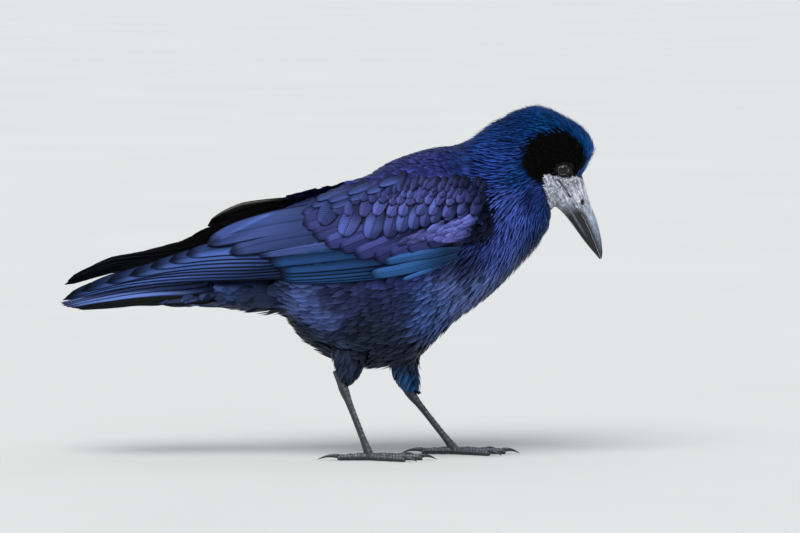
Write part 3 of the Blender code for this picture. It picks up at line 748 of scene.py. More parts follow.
def lie_of(points, normals, thigh):
    """The way the coat lies at points of the skin, along the skin."""
    away = ((points[:, None, 0] - lie_places[None, :, 0]) ** 2
            + (points[:, None, 2] - lie_places[None, :, 1]) ** 2)
    weight = 1.0 / (away + LIE_REACH ** 2) ** 2
    way = np.zeros((len(points), 3))
    flat = (weight @ lie_places[:, 2:]) / weight.sum(axis=1)[:, None]
    way[:, [0, 2]] = flat * (1 - thigh[:, None]) + np.array(THIGH_LIE) * thigh[:, None]
    way -= normals * (way * normals).sum(axis=1)[:, None]
    return unit(way)


def tract_of(points, owner):
    """Which tract each point of the skin belongs to; a later line goes over an earlier one."""
    x, _, z = points.T
    owners = np.array(FLESH)[owner]
    back = (z > 0.38 * x + 158) & (x < 96)
    neck = (x > 88) & (z > 128 + (x - 88) * 0.1)
    tract = np.full(len(points), TRACT["breast"])
    for name, where in (
            ("belly", (x * 0.5 + (150 - z) > 85) | (x < 20)),
            ("mantle", back),
            ("hackle", neck & ~(back & (x < 84))),
            ("throat", (x > 128) & (z < 178)),
            ("crown", (owners == "head") & (z > 172)),
            ("mask", mask_share(points) > 0.45),
            ("thigh", np.isin(owners, ("thigh_R", "thigh_L"))),
            ("arm", np.isin(owners, ("wing_coverts_R", "wing_coverts_L"))),
            ("rump", owners == "tail_base"),
            ("bare", bare_cover(points) > 0.5)):
        tract[where] = TRACT[name]
    return tract


# each tract's measures run into the next one's
tract_table = np.array(list(TRACTS.values()))
skin_tract = tract_of(skin_points, skin_owner)
skin_dress = spread(tract_table[skin_tract], skin_pairs, 10)
face_dress = skin_dress[skin_corners].mean(axis=1)
face_tract = skin_tract[skin_corners[:, 0]]
face_thigh = (face_tract == TRACT["thigh"]).astype(float)
face_bare = bare_share[skin_corners].mean(axis=1)

chance = np.random.default_rng(COAT_SEED)


def sow(centres, free, gaps):
    """Scatters roots over free faces, no two nearer than the gap there."""
    tree = KDTree(len(centres))
    for number, place in enumerate(centres.tolist()):
        tree.insert(place, number)
    tree.balance()
    free = free.copy()
    roots = []
    for number in chance.permutation(len(centres)).tolist():
        if free[number]:
            roots.append(number)
            for _, other, _ in tree.find_range(centres[number].tolist(), float(gaps[number])):
                free[other] = False
    return np.array(roots)


def in_tracts(faces, names):
    """Which of the skin's faces lie in the named tracts."""
    return np.isin(face_tract[faces], [TRACT[name] for name in names])


x, y, z = face_centres.T
free = face_bare < 0.5
# no feather is rooted in the eye's socket
for side in (1, -1):
    eye_away = np.linalg.norm(face_centres - np.array((EYE[0], side * EYE[1], EYE[2])), axis=1)
    free &= eye_away > EYE_CLEAR
# the back and the wings are dressed over the outer form instead
free &= ~in_tracts(slice(None), ("mantle", "arm"))
# the long coverts beside the tail's root lie over bare skin, and the belly's over their roots
free &= ~((x < -22) & (z > 101) & in_tracts(slice(None), ("belly",)))
# nor does any small feather push out through the folded wing from under it
under_wing = (np.abs(x - 14.0) < 48) & (np.abs(y) > 18) & (z > sampled(x, WING_EDGE)) & (z < 165)
free &= ~(under_wing & in_tracts(slice(None), ("breast", "belly")))
seeds = sow(face_centres, free, face_dress[:, 2])


def walk(starts, lengths, thigh, rows, turn, tree=skin_tree, tree_normals=face_normals):
    """Paths over a surface along the lie: points, normals and ways at each row. Each sets out
    turned a little from the lie."""
    points = starts.copy()
    path, ups, ways = [], [], []
    for row in range(rows + 1):
        found = [tree.find_nearest(p) for p in points.tolist()]
        points = np.array([f[0] for f in found], float)
        normals = tree_normals[[f[2] for f in found]]
        way = lie_of(points, normals, thigh)
        if row:
            way = unit(way * 0.5 + ways[-1] * 0.5)
        else:
            side = np.cross(normals, way)
            way = unit(way * np.cos(turn)[:, None] + side * np.sin(turn)[:, None])
        path.append(points)
        ups.append(normals)
        ways.append(way)
        points = points + way * (lengths / rows)[:, None]
    return np.stack(path, 1), np.stack(ups, 1), np.stack(ways, 1)


def vane_outline(share, pointed):
    """Half width of a vane at shares of its length: rounded, or drawn to a point."""
    rise = np.clip(share / 0.45, 0, 1)
    grow = 0.42 + 0.58 * rise * (2 - rise)
    close = np.sqrt(np.clip(1 - np.clip((share - 0.5) / 0.5, 0, 1) ** 2.6, 0, 1))
    blade = np.clip(1 - np.clip((share - 0.3) / 0.7, 0, 1) ** 1.5, 0, 1)
    return grow * (close * (1 - pointed) + blade * pointed)


def sheet_quads(rows, columns):
    """Faces of one sheet of points."""
    corner = (np.arange(rows - 1)[:, None] * columns + np.arange(columns - 1)[None]).ravel()
    return np.stack((corner, corner + 1, corner + columns + 1, corner + columns), 1)


def feather_mesh(name, points, quads, patch, vane, tones, material):
    """One joined mesh of feathers, from one feather's faces (quads) and every feather's points,
    places on the unwrap (patch), places on the vane, and tones."""
    count, size = len(points), points[0].size // 3
    quads = (quads[None] + (np.arange(count) * size)[:, None, None]).reshape(-1, 4)
    mesh = bpy.data.meshes.new(name)
    mesh.vertices.add(count * size)
    mesh.vertices.foreach_set("co", (points * MM).astype(np.float32).ravel())
    mesh.loops.add(len(quads) * 4)
    mesh.loops.foreach_set("vertex_index", quads.astype(np.int32).ravel())
    mesh.polygons.add(len(quads))
    mesh.polygons.foreach_set("loop_start", np.arange(len(quads), dtype=np.int32) * 4)
    mesh.update(calc_edges=True)
    for title, values in (("OFBake", patch), ("Vane", vane)):
        lay_out(mesh, title, values.reshape(-1, 2))
    keep(mesh, "Tone", tones.reshape(-1, 3))
    made = put(name, mesh, material)
    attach(made, "root")
    return made


def add_vanes(name, roots, walked, height, half, crown, tones, across, material, over=None):
    """One joined mesh of thin vanes, along paths walked from their roots. Rows run along each
    vane, and columns across it. Over a surface (its tree and normals) every point of a vane is
    bent down to it."""
    path, ups, ways = walked
    count, rows = path.shape[:2]
    columns = across + 1
    sides = unit(np.cross(ups, ways))
    steps = np.linspace(-1, 1, columns)
    points = path[:, :, None] + sides[:, :, None] * (half[:, :, None] * steps)[..., None]
    outward = np.broadcast_to(ups[:, :, None], points.shape)
    if over is not None:
        found = [over[0].find_nearest(p) for p in points.reshape(-1, 3).tolist()]
        points = np.array([f[0] for f in found]).reshape(points.shape)
        outward = over[1][[f[2] for f in found]].reshape(points.shape)
    points = points + outward * (height[:, :, None] - crown[:, :, None] * steps ** 2)[..., None]
    shares = np.broadcast_to(np.linspace(0, 1, rows)[None, :, None], (count, rows, columns))
    places = np.broadcast_to((steps[None, None] + 1) / 2, (count, rows, columns))
    vane = np.stack((places, shares), -1)
    patch = (vane - 0.5) * PATCH_SIZE + unwrap(roots)[:, None, None]
    return feather_mesh(name, points, sheet_quads(rows, columns), patch, vane,
                        np.repeat(tones, rows * columns, 0), material)


# how a vane is finished: darker at the root, partly a feather's dull base and partly painted
# shade where vanes overlap; one web painted lighter than the other for the light it faces; a rim
# painted paler as a highlight or darker as a shadow line; shade where the next vane lies over it;
# a fine dark shaft; and barbs that run out and forward from the shaft
vane_group = bpy.data.node_groups.new("vane finish", "ShaderNodeTree")
for way, kind, titles in (
        ("INPUT", "Color", ("Tone",)), ("INPUT", "Vector", ("Vane",)),
        ("INPUT", "Float", ("Barbs", "Fringe", "Low Web", "High Web", "Overlap", "Dullness",
                            "Rim Start")),
        ("OUTPUT", "Color", ("Colour",)), ("OUTPUT", "Float", ("Height", "Roughness"))):
    for title in titles:
        vane_group.interface.new_socket(name=title, in_out=way, socket_type="NodeSocket" + kind)
look = Look("vane finish", vane_group)
given = vane_group.nodes.new("NodeGroupInput").outputs
apart = look.add("SeparateXYZ", {0: given["Vane"]}).outputs
across_vane, along_vane = apart["X"], apart["Y"]
from_shaft = look.times(look.maths("ABSOLUTE", look.minus(across_vane, 0.5)), 2.0)
# painted light and shade: the rim, and a thin line along the lower edge, are made paler as a highlight
# or darker as a shadow
rim = look.maths("MAXIMUM", look.span(from_shaft, given["Rim Start"], 0.98),
                 look.span(along_vane, 0.87, 0.99))
rim = look.maths("MAXIMUM", rim, look.span(across_vane, 0.045, 0.115, 1.0, 0.0))
slant = look.minus(along_vane, look.times(from_shaft, 0.22))
barb_wave = look.maths("SINE", look.times(slant, given["Barbs"]))
shaft = look.span(from_shaft, 0.02, 0.12, 1.0, 0.0)
under_next = look.span(across_vane, 0.22, 0.42)
# darker at the root: partly a feather's dull base, partly painted shade where vanes overlap
gain = look.span(along_vane, 0.12, 0.62, 0.30, 1.0)
# painted light: one web lighter than the other, for the way each faces the light
for next_gain in (look.span(across_vane, 0.15, 0.85, given["Low Web"], given["High Web"]),
                  look.plus(1.0, look.times(rim, given["Fringe"])),
                  look.span(barb_wave, -1.0, 1.0, 0.80, 1.12),
                  look.minus(1.0, look.times(shaft, 0.35)),
                  look.minus(1.0, look.times(under_next, given["Overlap"]))):
    gain = look.times(gain, next_gain)
look.feed(vane_group.nodes.new("NodeGroupOutput"), {
    "Colour": look.scaled(given["Tone"], gain),
    "Height": look.plus(look.span(barb_wave, -1.0, 1.0), look.times(shaft, 2.0)),
    "Roughness": look.plus(given["Dullness"], look.times(rim, 0.16))})


def vane_material(name, barbs, bump, painted_rim, web_lights, overlap, dullness, metallic, gloss,
                  rim_start=0.70):
    """A feather material: the vane finish over each feather's own tone. barbs is how close they
    run and bump how high; the next number is how much paler the rim is painted as a highlight
    (under 0, darker as a painted shadow line); the pair after it how light the lower and the upper
    web are painted for the light each faces; and overlap the shade under the next vane."""
    look = Look(name)
    vane = look.add("UVMap", uv_map="Vane").outputs["UV"]
    made = look.tree.nodes.new("ShaderNodeGroup")
    made.node_tree = vane_group
    look.feed(made, {"Tone": look.kept("Tone", "Color"), "Vane": vane, "Barbs": barbs,
                     "Fringe": painted_rim, "Low Web": web_lights[0], "High Web": web_lights[1],
                     "Overlap": overlap, "Dullness": dullness, "Rim Start": rim_start})
    return look.finish(Base_Color=made.outputs["Colour"], Roughness=made.outputs["Roughness"],
                       Normal=look.bump(made.outputs["Height"], 0.5, bump),
                       Metallic=metallic, Specular_IOR_Level=gloss)


# painted highlight: the body's feathers and the neck's hackles have rims painted paler, and one web
# painted lighter than the other
contour_material = vane_material("body feathers", 90.0, 0.00012, 0.30, (0.60, 1.30), 0.0,
                                 0.46, 0.55, 0.10, 0.74)
hackle_material = vane_material("neck hackles", 60.0, 0.0001, 1.1, (0.40, 1.50), 0.0,
                                0.38, 0.60, 0.10)
# painted shade: the feathers round the eye get a dull copy of the feather finish, with no gloss
mask_shade_material = vane_material("mask feathers in painted shade", 40.0, 0.0001, 0.3, (0.9, 1.1), 0.0,
                              0.75, 0.0, 0.04)

# name, tracts, rows along and steps across each vane, material
BODY_GROUPS = (
    ("feathers_mask", ("mask",), 3, 2, mask_shade_material),
    ("feathers_crown", ("crown",), 4, 2, hackle_material),
    ("feathers_neck", ("hackle", "throat"), 5, 2, hackle_material),
    ("feathers_breast", ("breast",), 6, 4, contour_material),
    ("feathers_belly", ("belly",), 6, 4, contour_material),
    ("feathers_thighs", ("thigh",), 5, 4, contour_material),
    ("feathers_rump", ("rump",), 6, 4, contour_material),
)
for title, tracts, rows, across, material in BODY_GROUPS:
    chosen = seeds[in_tracts(seeds, tracts)]
    dress = face_dress[chosen]
    amount = len(chosen)
    lengths = dress[:, 0] * chance.uniform(0.85, 1.15, amount)
    widths = dress[:, 1] * chance.uniform(0.85, 1.12, amount)
    turn = chance.normal(0.0, 0.11, amount)
    starts = face_centres[chosen]
    walked = walk(starts, lengths, face_thigh[chosen], rows, turn)
    share = np.linspace(0, 1, rows + 1)
    depth = face_depth[chosen] * chance.uniform(0.92, 1.10, amount)
    climb = 0.10 + 0.90 * share[None] ** 0.8
    stand = dress[:, 4] * 2.2 * chance.uniform(0.2, 1.0, amount) ** 3
    height = depth[:, None] * climb + stand[:, None] * share[None] ** 3
    over_vent = eased(0.0, -20.0, starts[:, 0]) * eased(94.0, 104.0, starts[:, 2])
    height += 0.9 * over_vent[:, None] * share[None]
    half = widths[:, None] / 2 * vane_outline(share[None], dress[:, 3:4])
    tones = plumage_colour(starts) * chance.uniform(0.50, 1.50, amount)[:, None]
    add_vanes(title, starts, walked, height, half, half * 0.22, tones, across, material)

# the back, the bend of the wing and the tail's under coverts are dressed over the outer form,
# so that they run on smoothly from the body over the roots of the wings and the tail

# under this line, seen from the side, the wings' own coverts begin: x, z
BACK_LINE = ((-18, 177), (5, 181), (30, 186.5), (52, 190.5), (75, 194.5), (90, 196))
WRIST_LINE = 97.0               # the small coverts at the bend of the wing lie ahead of this x
x, y, z = form_centres.T
form_tract = np.zeros(len(form_centres), int)
on_back = (x < 98) & (x > -18) & (z > sampled(x, BACK_LINE))
form_tract[on_back] = 1
form_tract[(x > WRIST_LINE) & (x < 112) & (z > 152) & (z < 190) & (np.abs(y) > 34)] = 2
form_tract[(x > -98) & (x < -40) & (z < 113) & (form_ups[:, 2] < -0.45)] = 3
# each tract's mark and name, length, width, gap, how deep roots and how high tips lie
FORM_TRACTS = (
    (1, "feathers_back", 15, 8, 3.5, 1.6, 0.25),
    (2, "feathers_wrist", 9, 5, 2.6, 1.4, 0.2),
    (3, "feathers_vent", 24, 12, 5.4, 1.6, 0.1),
)
for mark, title, long, wide, gap, deep, high in FORM_TRACTS:
    size = np.ones(len(form_centres))
    if mark == 1:
        size = 0.52 + 0.68 * eased(90.0, 10.0, form_centres[:, 0])
    chosen = sow(form_centres, form_tract == mark, gap * size)
    amount = len(chosen)
    size = size[chosen]
    starts = form_centres[chosen]
    lengths = long * size * chance.uniform(0.86, 1.14, amount)
    widths = wide * size * chance.uniform(0.88, 1.12, amount)
    walked = walk(starts, lengths, np.zeros(amount), 7, chance.normal(0.0, 0.10, amount), *FORM)
    share = np.linspace(0, 1, 8)[None]
    depth = deep * chance.uniform(0.9, 1.1, amount)[:, None]
    height = (high + depth) * share ** 0.7 - depth
    height = height + 0.35 * chance.uniform(0, 1, amount)[:, None] * share ** 3
    half = widths[:, None] / 2 * vane_outline(share, np.full((amount, 1), 0.12))
    tones = plumage_colour(starts) * chance.uniform(0.50, 1.50, amount)[:, None]
    # painted shadow: the small feathers at the bend of the wing are painted near black for the shade
    # between wing and breast
    if mark == 2:
        tones = np.array(WING_SHADE) * chance.uniform(0.8, 2.2, (amount, 1))
    add_vanes(title, starts, walked, height, half, half * 0.06, tones, 4, contour_material, FORM)

# --- the folded wings -------------------------------------------------------------------
# Each wing is a stack of real quills: primaries lowest, secondaries and tertials over
# them, then rows of coverts like tiles. All lie draped on the wing's outer face.

# every row: root x, z; tip x, z; bend; width; how far its root and tip stand off the face
PRIMARIES = (
    ((-8, 130), (-174, 110.4), 6.2, 9.5, -3.4, -2),
    ((-8, 132), (-183.3, 108.8), 7.2, 11.5, -3.1, -1.7),
    ((-8, 134.5), (-181, 111), 7.4, 12.5, -2.8, -1.4),
    ((-8, 137), (-171, 114.8), 7, 13.5, -2.5, -1.1),
    ((-8, 139.5), (-153, 120.6), 5.6, 14, -2.2, -0.8),
    ((-6, 142), (-137.5, 125.6), 4.4, 14.5, -1.9, -0.5),
    ((-4, 144.5), (-124, 130), 3.6, 15, -1.6, -0.3),
    ((-2, 147), (-111, 134.6), 3, 15, -1.3, 0),
    ((0, 149.5), (-99, 139.2), 2.5, 15, -1, 0.2),
)
SECONDARIES = (
    ((62, 131.5), (-33, 124.6), -1.6, 8, -1.9, -0.9),
    ((62, 134), (-34.2, 126.6), -1.4, 9, -1.6, -0.6),
    ((62, 137), (-35, 128.8), -1.2, 10.5, -1.3, -0.3),
    ((62, 140), (-35.5, 131), -1, 11.5, -1, 0),
    ((60, 144.5), (-36, 133.8), -1, 14, -0.7, 0.3),
    ((50, 151), (-44, 138.6), 0, 16, -0.5, 0.5),
)
TERTIALS = (
    ((35, 155), (-49, 140.5), 0.5, 11, -0.4, 1),
    ((25, 162), (-69.5, 142.2), 1.8, 18, -0.1, 1.9),
    ((18, 171), (-84.5, 147), 3.4, 20, 0.2, 2.7),
)
ALULA = (
    ((80, 137.5), (47.5, 125.4), -0.5, 3.6, -0.6, 0.2),
    ((86, 142), (25, 128.8), -1.5, 9.5, -0.3, 0.6),
    ((88, 146.5), (36, 137.2), 0.8, 7.5, 0, 0.9),
)
GREATER_COVERTS = (
    ((92, 158), (66, 148.5), 0.5, 10, -0.8, 0.5),
    ((84, 157), (52, 145.6), 0.5, 11, -0.6, 0.6),
    ((76, 157), (40, 141.6), 0.5, 13, -0.4, 0.7),
    ((70, 158), (28.7, 138.8), 0.5, 14.5, -0.2, 0.8),
    ((60, 160), (16.4, 142.2), 0.5, 15, 0, 0.9),
    ((48, 162), (5.5, 146.4), 0.5, 15, 0.1, 1.1),
    ((38, 164), (-4, 150), 0.5, 15, 0.2, 1.3),
    ((30, 168), (-12.5, 155.6), 0.5, 15, 0.3, 1.5),
    ((24, 173), (-19, 162.4), 0.5, 15, 0.4, 1.7),
)
MEDIAN_COVERTS = (
    ((6, 180), (-6, 162), 0.5, 14, 0.9, 1.9),
    ((19, 175), (8.5, 154), 0.5, 14.9, 0.7, 1.6),
    ((34, 173.5), (26.5, 152), 0.5, 14.4, 0.6, 1.5),
    ((46, 174.5), (39.5, 154.4), 0.5, 12.6, 0.5, 1.4),
    ((54, 175.5), (48, 156.6), 0.5, 11.2, 0.5, 1.4),
    ((61, 176.8), (56, 159.2), 0.5, 10.2, 0.4, 1.3),
    ((68, 176.7), (63.5, 160.7), 0.5, 9.3, 0.4, 1.3),
    ((75, 177.6), (70.5, 163.2), 0.5, 8.8, 0.3, 1.2),
    ((84, 177.2), (79, 165.2), 0.5, 8.4, 0.3, 1.2),
    ((92, 176.9), (88, 165.4), 0.5, 7.9, 0.3, 1.1),
)
# the lesser and the small coverts: each row's back and front tip, their number, length and
# width, and how far root and tip stand off the face
LESSER_ROWS = (
    ((3, 168), (96, 168.5), 11, 23, 11, 0.1, 1.5),
    ((14, 176), (99, 176), 14, 18, 9.2, 0.3, 1.7),
)
SMALL_ROWS = (
    ((28, 180.5), (100, 180.5), 15, 13, 6.6, 0.4, 1.6),
    ((34, 183.5), (101, 184), 16, 12, 5.8, 0.5, 1.7),
    ((48, 187), (100, 187.5), 14, 9.5, 5.2, 0.6, 1.7),
)
LESSER_LIE = (-0.480, -0.880)
# the narrow coverts behind the bend of the wing, their violet gloss painted pale as a highlight, given
# in the same way
WRIST_ROWS = (
    ((46, 149.5), (83, 152.5), 10, 18, 5, 0.5, 1.3),
    ((52, 152), (85, 155.5), 9, 18, 5, 0.55, 1.4),
    ((58, 154.5), (87, 159), 8, 17, 4.8, 0.6, 1.5),
    ((66, 157), (89, 162), 7, 16, 4.6, 0.65, 1.6),
    ((76, 160.5), (91, 165), 5, 15, 4.4, 0.7, 1.7),
)
WRIST_LIE = (-0.95, -0.30)
# the long feathers of the shoulder, over the wing's root: root x, z, length, width
SCAPULARS = (
    (6, 176, 27, 11), (14, 179, 26, 11), (10, 182, 33, 12),
    (24, 184, 27, 10.5), (16, 186, 33, 12), (34, 188, 24, 10),
    (26, 189, 31, 12), (44, 191.5, 22, 9.5), (36, 193, 28, 11),
    (22, 191, 36, 12.5), (52, 195, 21, 9.5),
)
# the coverts beside the tail's root, given in the same way as the quills
VENT_COVERTS = (
    ((-88, 108.5), (-113, 106.6), 0, 6, -0.6, 0.4),
    ((-76, 109), (-102, 106.8), 0, 7.5, -0.6, 0.6),
    ((-64, 109.5), (-91, 107), 0, 9, -0.6, 0.8),
    ((-52, 109.5), (-79, 107.2), 0, 10.5, -0.6, 1),
    ((-66, 113), (-91, 110.6), 0, 7, -0.6, 0.8),
    ((-54, 113.5), (-80, 111.4), 0, 9, -0.6, 1),
    ((-40, 109), (-66, 107.4), 0, 12, -0.6, 1.2),
    ((-42, 114.5), (-68, 112.6), 0, 10.5, -0.6, 1.2),
    ((-29, 109), (-54, 108.2), 0, 12.5, -0.8, 0.9),
    ((-30, 115.5), (-57, 114), 0, 11.5, -0.8, 0.9),
    ((-22, 117), (-45, 116), 0, 11.5, -0.8, 0.9),
)
# the left wing is carried higher over the tail: x, lift
LEFT_LIFT = ((-183.5, 9.46), (-150, 10.75), (-126, 8.17), (-104, 7.31), (-84, 10.75),
             (-60, 10.75), (-30, 6.45), (20, 0))
PRIMARY_BLUE = (0.030, 0.062, 0.200)
SECONDARY_TEAL = (0.018, 0.066, 0.205)
TERTIAL_VIOLET = (0.037, 0.064, 0.205)
ALULA_TEAL = (0.040, 0.150, 0.430)
GREATER_PLUM = (0.033, 0.042, 0.165)
MEDIAN_VIOLET = (0.032, 0.046, 0.165)
LESSER_VIOLET = (0.040, 0.050, 0.190)
SCAPULAR_BLUE = (0.036, 0.056, 0.200)
# painted highlight: the violet gloss at the bend of the wing, painted pale lavender
WRIST_SHEEN_LAVENDER = (0.140, 0.160, 0.540)
VENT_BLUE = (0.022, 0.036, 0.085)
# the quills' undersides: their own dull dark, deepened to near black as painted shade
UNDERSIDE_SHADE_BLACK = (0.0045, 0.0045, 0.0045)
UNDERSIDE_EDGE = (0.260, 0.240, 0.200)
ROOT_DIVE = 3.0                 # how far the roots of the coverts beside the tail dive
CLEAR = 4.2                     # how far both wings keep from the middle plane
FACE_STEP = 1.5                 # spacing of the map of the wing's face
FACE_LOW = np.array((-195.0, 95.0))
FACE_HIGH = np.array((120.0, 220.0))


def fill_map(height, fall=0.0):
    """Carries a map's edge values outwards, falling off at each step, then evens it."""
    known = ~np.isnan(height)
    height = np.where(known, height, 0.0)
    for _ in range(24):
        total = np.zeros_like(height)
        count = np.zeros_like(height)
        for axis in (0, 1):
            for way in (1, -1):
                total += np.roll(height * known, way, axis)
                count += np.roll(known.astype(float), way, axis)
        fresh = ~known & (count > 0)
        height = np.where(fresh, total / np.maximum(count, 1) - fall, height)
        known = known | fresh
    for _ in range(6):
        near = sum(np.roll(height, way, axis) for axis in (0, 1) for way in (1, -1)) / 4
        height = height * 0.5 + near * 0.5
    return height


def look_up(height, low, places):
    """The map's value at places, between its points."""
    spot = np.clip((places - low) / FACE_STEP, 0, np.array(height.shape) - 1.001)
    whole = spot.astype(int)
    part = spot - whole
    a, b = whole[..., 0], whole[..., 1]
    return (height[a, b] * (1 - part[..., 0]) * (1 - part[..., 1])
            + height[a + 1, b] * part[..., 0] * (1 - part[..., 1])
            + height[a, b + 1] * (1 - part[..., 0]) * part[..., 1]
            + height[a + 1, b + 1] * part[..., 0] * part[..., 1])


def blank_map():
    """The places of a map of the wing's face, and its heights, none of them known yet."""
    across, up = (np.arange(low, high, FACE_STEP) for low, high in zip(FACE_LOW, FACE_HIGH))
    return across, up, np.full((len(across), len(up)), np.nan)


def wing_face(letter, side):
    """How far out the wing's outer face is, over x and z."""
    tree = felt(*joined(cad_shape(node + letter) for node in
                        ("wing_coverts_", "wing_secondaries_", "wing_primaries_")))
    across, up, height = blank_map()
    for a, x in enumerate(across.tolist()):
        for b, z in enumerate(up.tolist()):
            hit = struck(tree, side, x, z)
            if hit is not None:
                height[a, b] = hit[1] * side
        # above the wing's upper edge the quills lie over the back
        met = np.nonzero(~np.isnan(height[a]))[0]
        for b in range(met[-1] + 1, len(up)) if len(met) else ():
            hit = struck(form_tree, side, x, float(up[b]))
            if hit is None:
                break
            height[a, b] = min(hit[1] * side, height[a, b - 1])
    return fill_map(height, 0.5)


def form_face(side):
    """How far out the side of the whole form is, over x and z, beside the tail's root."""
    across, up, height = blank_map()
    for a in np.nonzero((across > -130) & (across < 0))[0]:
        for b in np.nonzero(up < 123)[0]:
            hit = struck(form_tree, side, across[a], up[b])
            if hit is not None:
                height[a, b] = hit[1] * side
    return fill_map(height, 0.6)


def blade_outline(share, rounded, narrow=0.12):
    """Half width of a quill's vane: long and even, narrower to its rounded tip."""
    grow = 0.45 + 0.55 * np.clip(share / 0.3, 0, 1)
    end = np.clip((share - (1 - rounded)) / rounded, 0, 1)
    slim = 1 - narrow * np.clip(share, 0, 1) ** 1.5
    return grow * np.sqrt(np.clip(1 - end ** 2.2, 0, 1)) * slim


def add_blades(name, upper, lower, tones, material):
    """One joined mesh of thin closed vanes, each with its own patch of the unwrap."""
    count, rows, columns = upper.shape[:3]
    one = sheet_quads(rows, columns)
    # the lower sheet turns the other way but is cut along the same corner, so they never cross
    quads = np.vstack((one, one[:, (0, 3, 2, 1)] + rows * columns))
    cells = math.ceil(math.sqrt(count))
    v, u = np.meshgrid(np.linspace(0, 1, rows), np.linspace(0, 1, columns), indexing="ij")
    vane = np.broadcast_to(np.stack((u, v), -1), (count, 2, rows, columns, 2))
    number = np.arange(count)[:, None, None, None]
    sheet = np.arange(2)[None, :, None, None]
    place_u = (number % cells + 0.03 + 0.47 * sheet + 0.44 * vane[..., 0]) / cells
    place_v = (number // cells + 0.03 + 0.94 * vane[..., 1]) / cells
    shades = np.broadcast_to(tones[:, None, None, None], (count, 2, rows, columns, 3)).copy()
    # painted shade: the lower sheets, seen mainly on the far wing's inner side, are near black
    shades[:, 1] = UNDERSIDE_SHADE_BLACK
    shades[:, 1, :, (0, -1)] = UNDERSIDE_EDGE
    return feather_mesh(name, np.stack((upper, lower), 1), quads, np.stack((place_u, place_v), -1),
                        vane, shades, material)


def thickness(steps, rows):
    """How thick a closed vane is, from 1 along its middle to 0 at its edges and its tip."""
    body = np.tile(np.sqrt(np.clip(1 - steps ** 2, 0, 1)), (rows, 1))
    body[-1] = 0
    return body


def squared(ways):
    """The way square to each way, on its upper side."""
    ways = unit(ways)
    square = np.stack((ways[..., 1], -ways[..., 0]), -1)
    return square * np.where(square[..., 1:] < 0, -1.0, 1.0)


def drape(letter, side, face, title, rows_of, colour, material, rows, across, rounded, thick,
          crown, tilt, narrow, fade=None, raised=True, slot="flight_feathers"):
    """Lays a row of quills on the wing's face, root to tip. A fade is two places of the tip
    along the body, and the strength of the colour at each."""
    table = np.array([(*root, *tip, bow, width, low, high)
                      for root, tip, bow, width, low, high in rows_of], float)
    count = len(table)
    chance = np.random.default_rng(seed_of(title) + (side > 0))
    share = np.linspace(0, 1, rows)
    root, tip = table[:, None, 0:2], table[:, None, 2:4] + chance.normal(0, 0.35, (count, 1, 2))
    square = squared(tip - root)
    later = share ** 1.6
    bend = (4 * later * (1 - later))[None, :, None] * table[:, None, 4:5]
    middle = root + (tip - root) * share[None, :, None] + square * bend
    upward = squared(np.gradient(middle, axis=1))
    half = table[:, None, 5] / 2 * blade_outline(share, rounded, narrow)[None]
    steps = np.linspace(-1, 1, across + 1)
    flat = middle[:, :, None] + upward[:, :, None] * (half[:, :, None] * steps)[..., None]
    if side > 0 and raised:
        flat[..., 1] += sampled(flat[..., 0], LEFT_LIFT)
    off = table[:, None, 6] + (table[:, None, 7] - table[:, None, 6]) * share[None] ** 1.3
    if not raised:
        off = off - ROOT_DIVE * eased(0.22, 0.0, share)[None]
    out = np.maximum(look_up(face, FACE_LOW, flat), CLEAR) + off[..., None]
    out -= crown * half[..., None] * steps ** 2
    out += tilt * steps * share[None, :, None]
    body = thickness(steps, rows)
    ridge = 0.10 * np.exp(-(steps / 0.12) ** 2)[None, None] * (1 - share ** 2)[None, :, None]
    upper, lower = (np.stack((flat[..., 0], side * height, flat[..., 1]), -1)
                    for height in (out + ridge, out - thick * body))
    tones = np.array(colour) * chance.uniform(0.72, 1.28, (count, 1))
    tones = tones * (1 - 0.50 * eased(172.0, 190.0, table[:, 3:4]))
    if fade is not None:
        rear, front, start, end = fade
        tones = tones * (start + (end - start) * eased(rear, front, table[:, 2:3]))
    return add_blades(title + "_" + letter, upper, lower, tones, material)


def seed_of(word):
    """A steady number from a name, to seed its small differences."""
    return sum((place + 3) * ord(letter) for place, letter in enumerate(word))


# painted light and shade: the quills and coverts have rims painted darker as shadow lines and one web
# painted lighter than the other; the stacked quills are also shaded where the next one lies over them
stacked_material = vane_material("stacked quills", 420.0, 0.00012, -0.92, (1.30, 0.62), 0.35,
                                 0.40, 0.55, 0.12, 0.76)
quill_material = vane_material("open quills", 420.0, 0.00012, -0.85, (0.80, 1.20), 0.0,
                               0.42, 0.5, 0.12, 0.84)
covert_material = vane_material("wing coverts", 90.0, 0.00012, -0.82, (0.62, 1.30), 0.0,
                                0.44, 0.5, 0.10, 0.76)
small_material = vane_material("small coverts", 60.0, 0.0001, -0.35, (0.45, 1.50), 0.0,
                               0.46, 0.5, 0.10, 0.80)
wrist_material = vane_material("wrist coverts with painted sheen", 60.0, 0.0001, -0.30, (0.72, 1.15), 0.0,
                               0.46, 0.5, 0.10, 0.82)
vent_material = vane_material("coverts under the tail", 90.0, 0.00012, -0.70, (1.15, 0.80), 0.0,
                              0.48, 0.4, 0.08, 0.74)


def covert_rows(rows, lie, seed):
    """Roots and tips of rows of small coverts, with small differences between feathers."""
    chance = np.random.default_rng(seed)
    made = []
    for (back_x, back_z), (front_x, front_z), number, length, width, low, high in rows:
        for place in np.linspace(0, 1, number):
            tip_x = back_x + (front_x - back_x) * place + chance.normal(0, 0.9)
            tip_z = back_z + (front_z - back_z) * place + chance.normal(0, 0.9)
            size = (1.0 - 0.25 * place) * chance.uniform(0.86, 1.10)
            swing = chance.normal(0, 0.11)
            start = (tip_x - (lie[0] + swing) * length * size, tip_z - (lie[1] - swing) * length * size)
            made.append((start, (tip_x, tip_z), 0.5, width * size, low - 0.5, high))
    return made


TO_WRIST = (74.0, 98.0, 1.0, 0.60)      # the small coverts darken towards the bend of the wing
FROM_WRIST = (48.0, 76.0, 0.35, 1.0)    # and its pale ones towards the rear
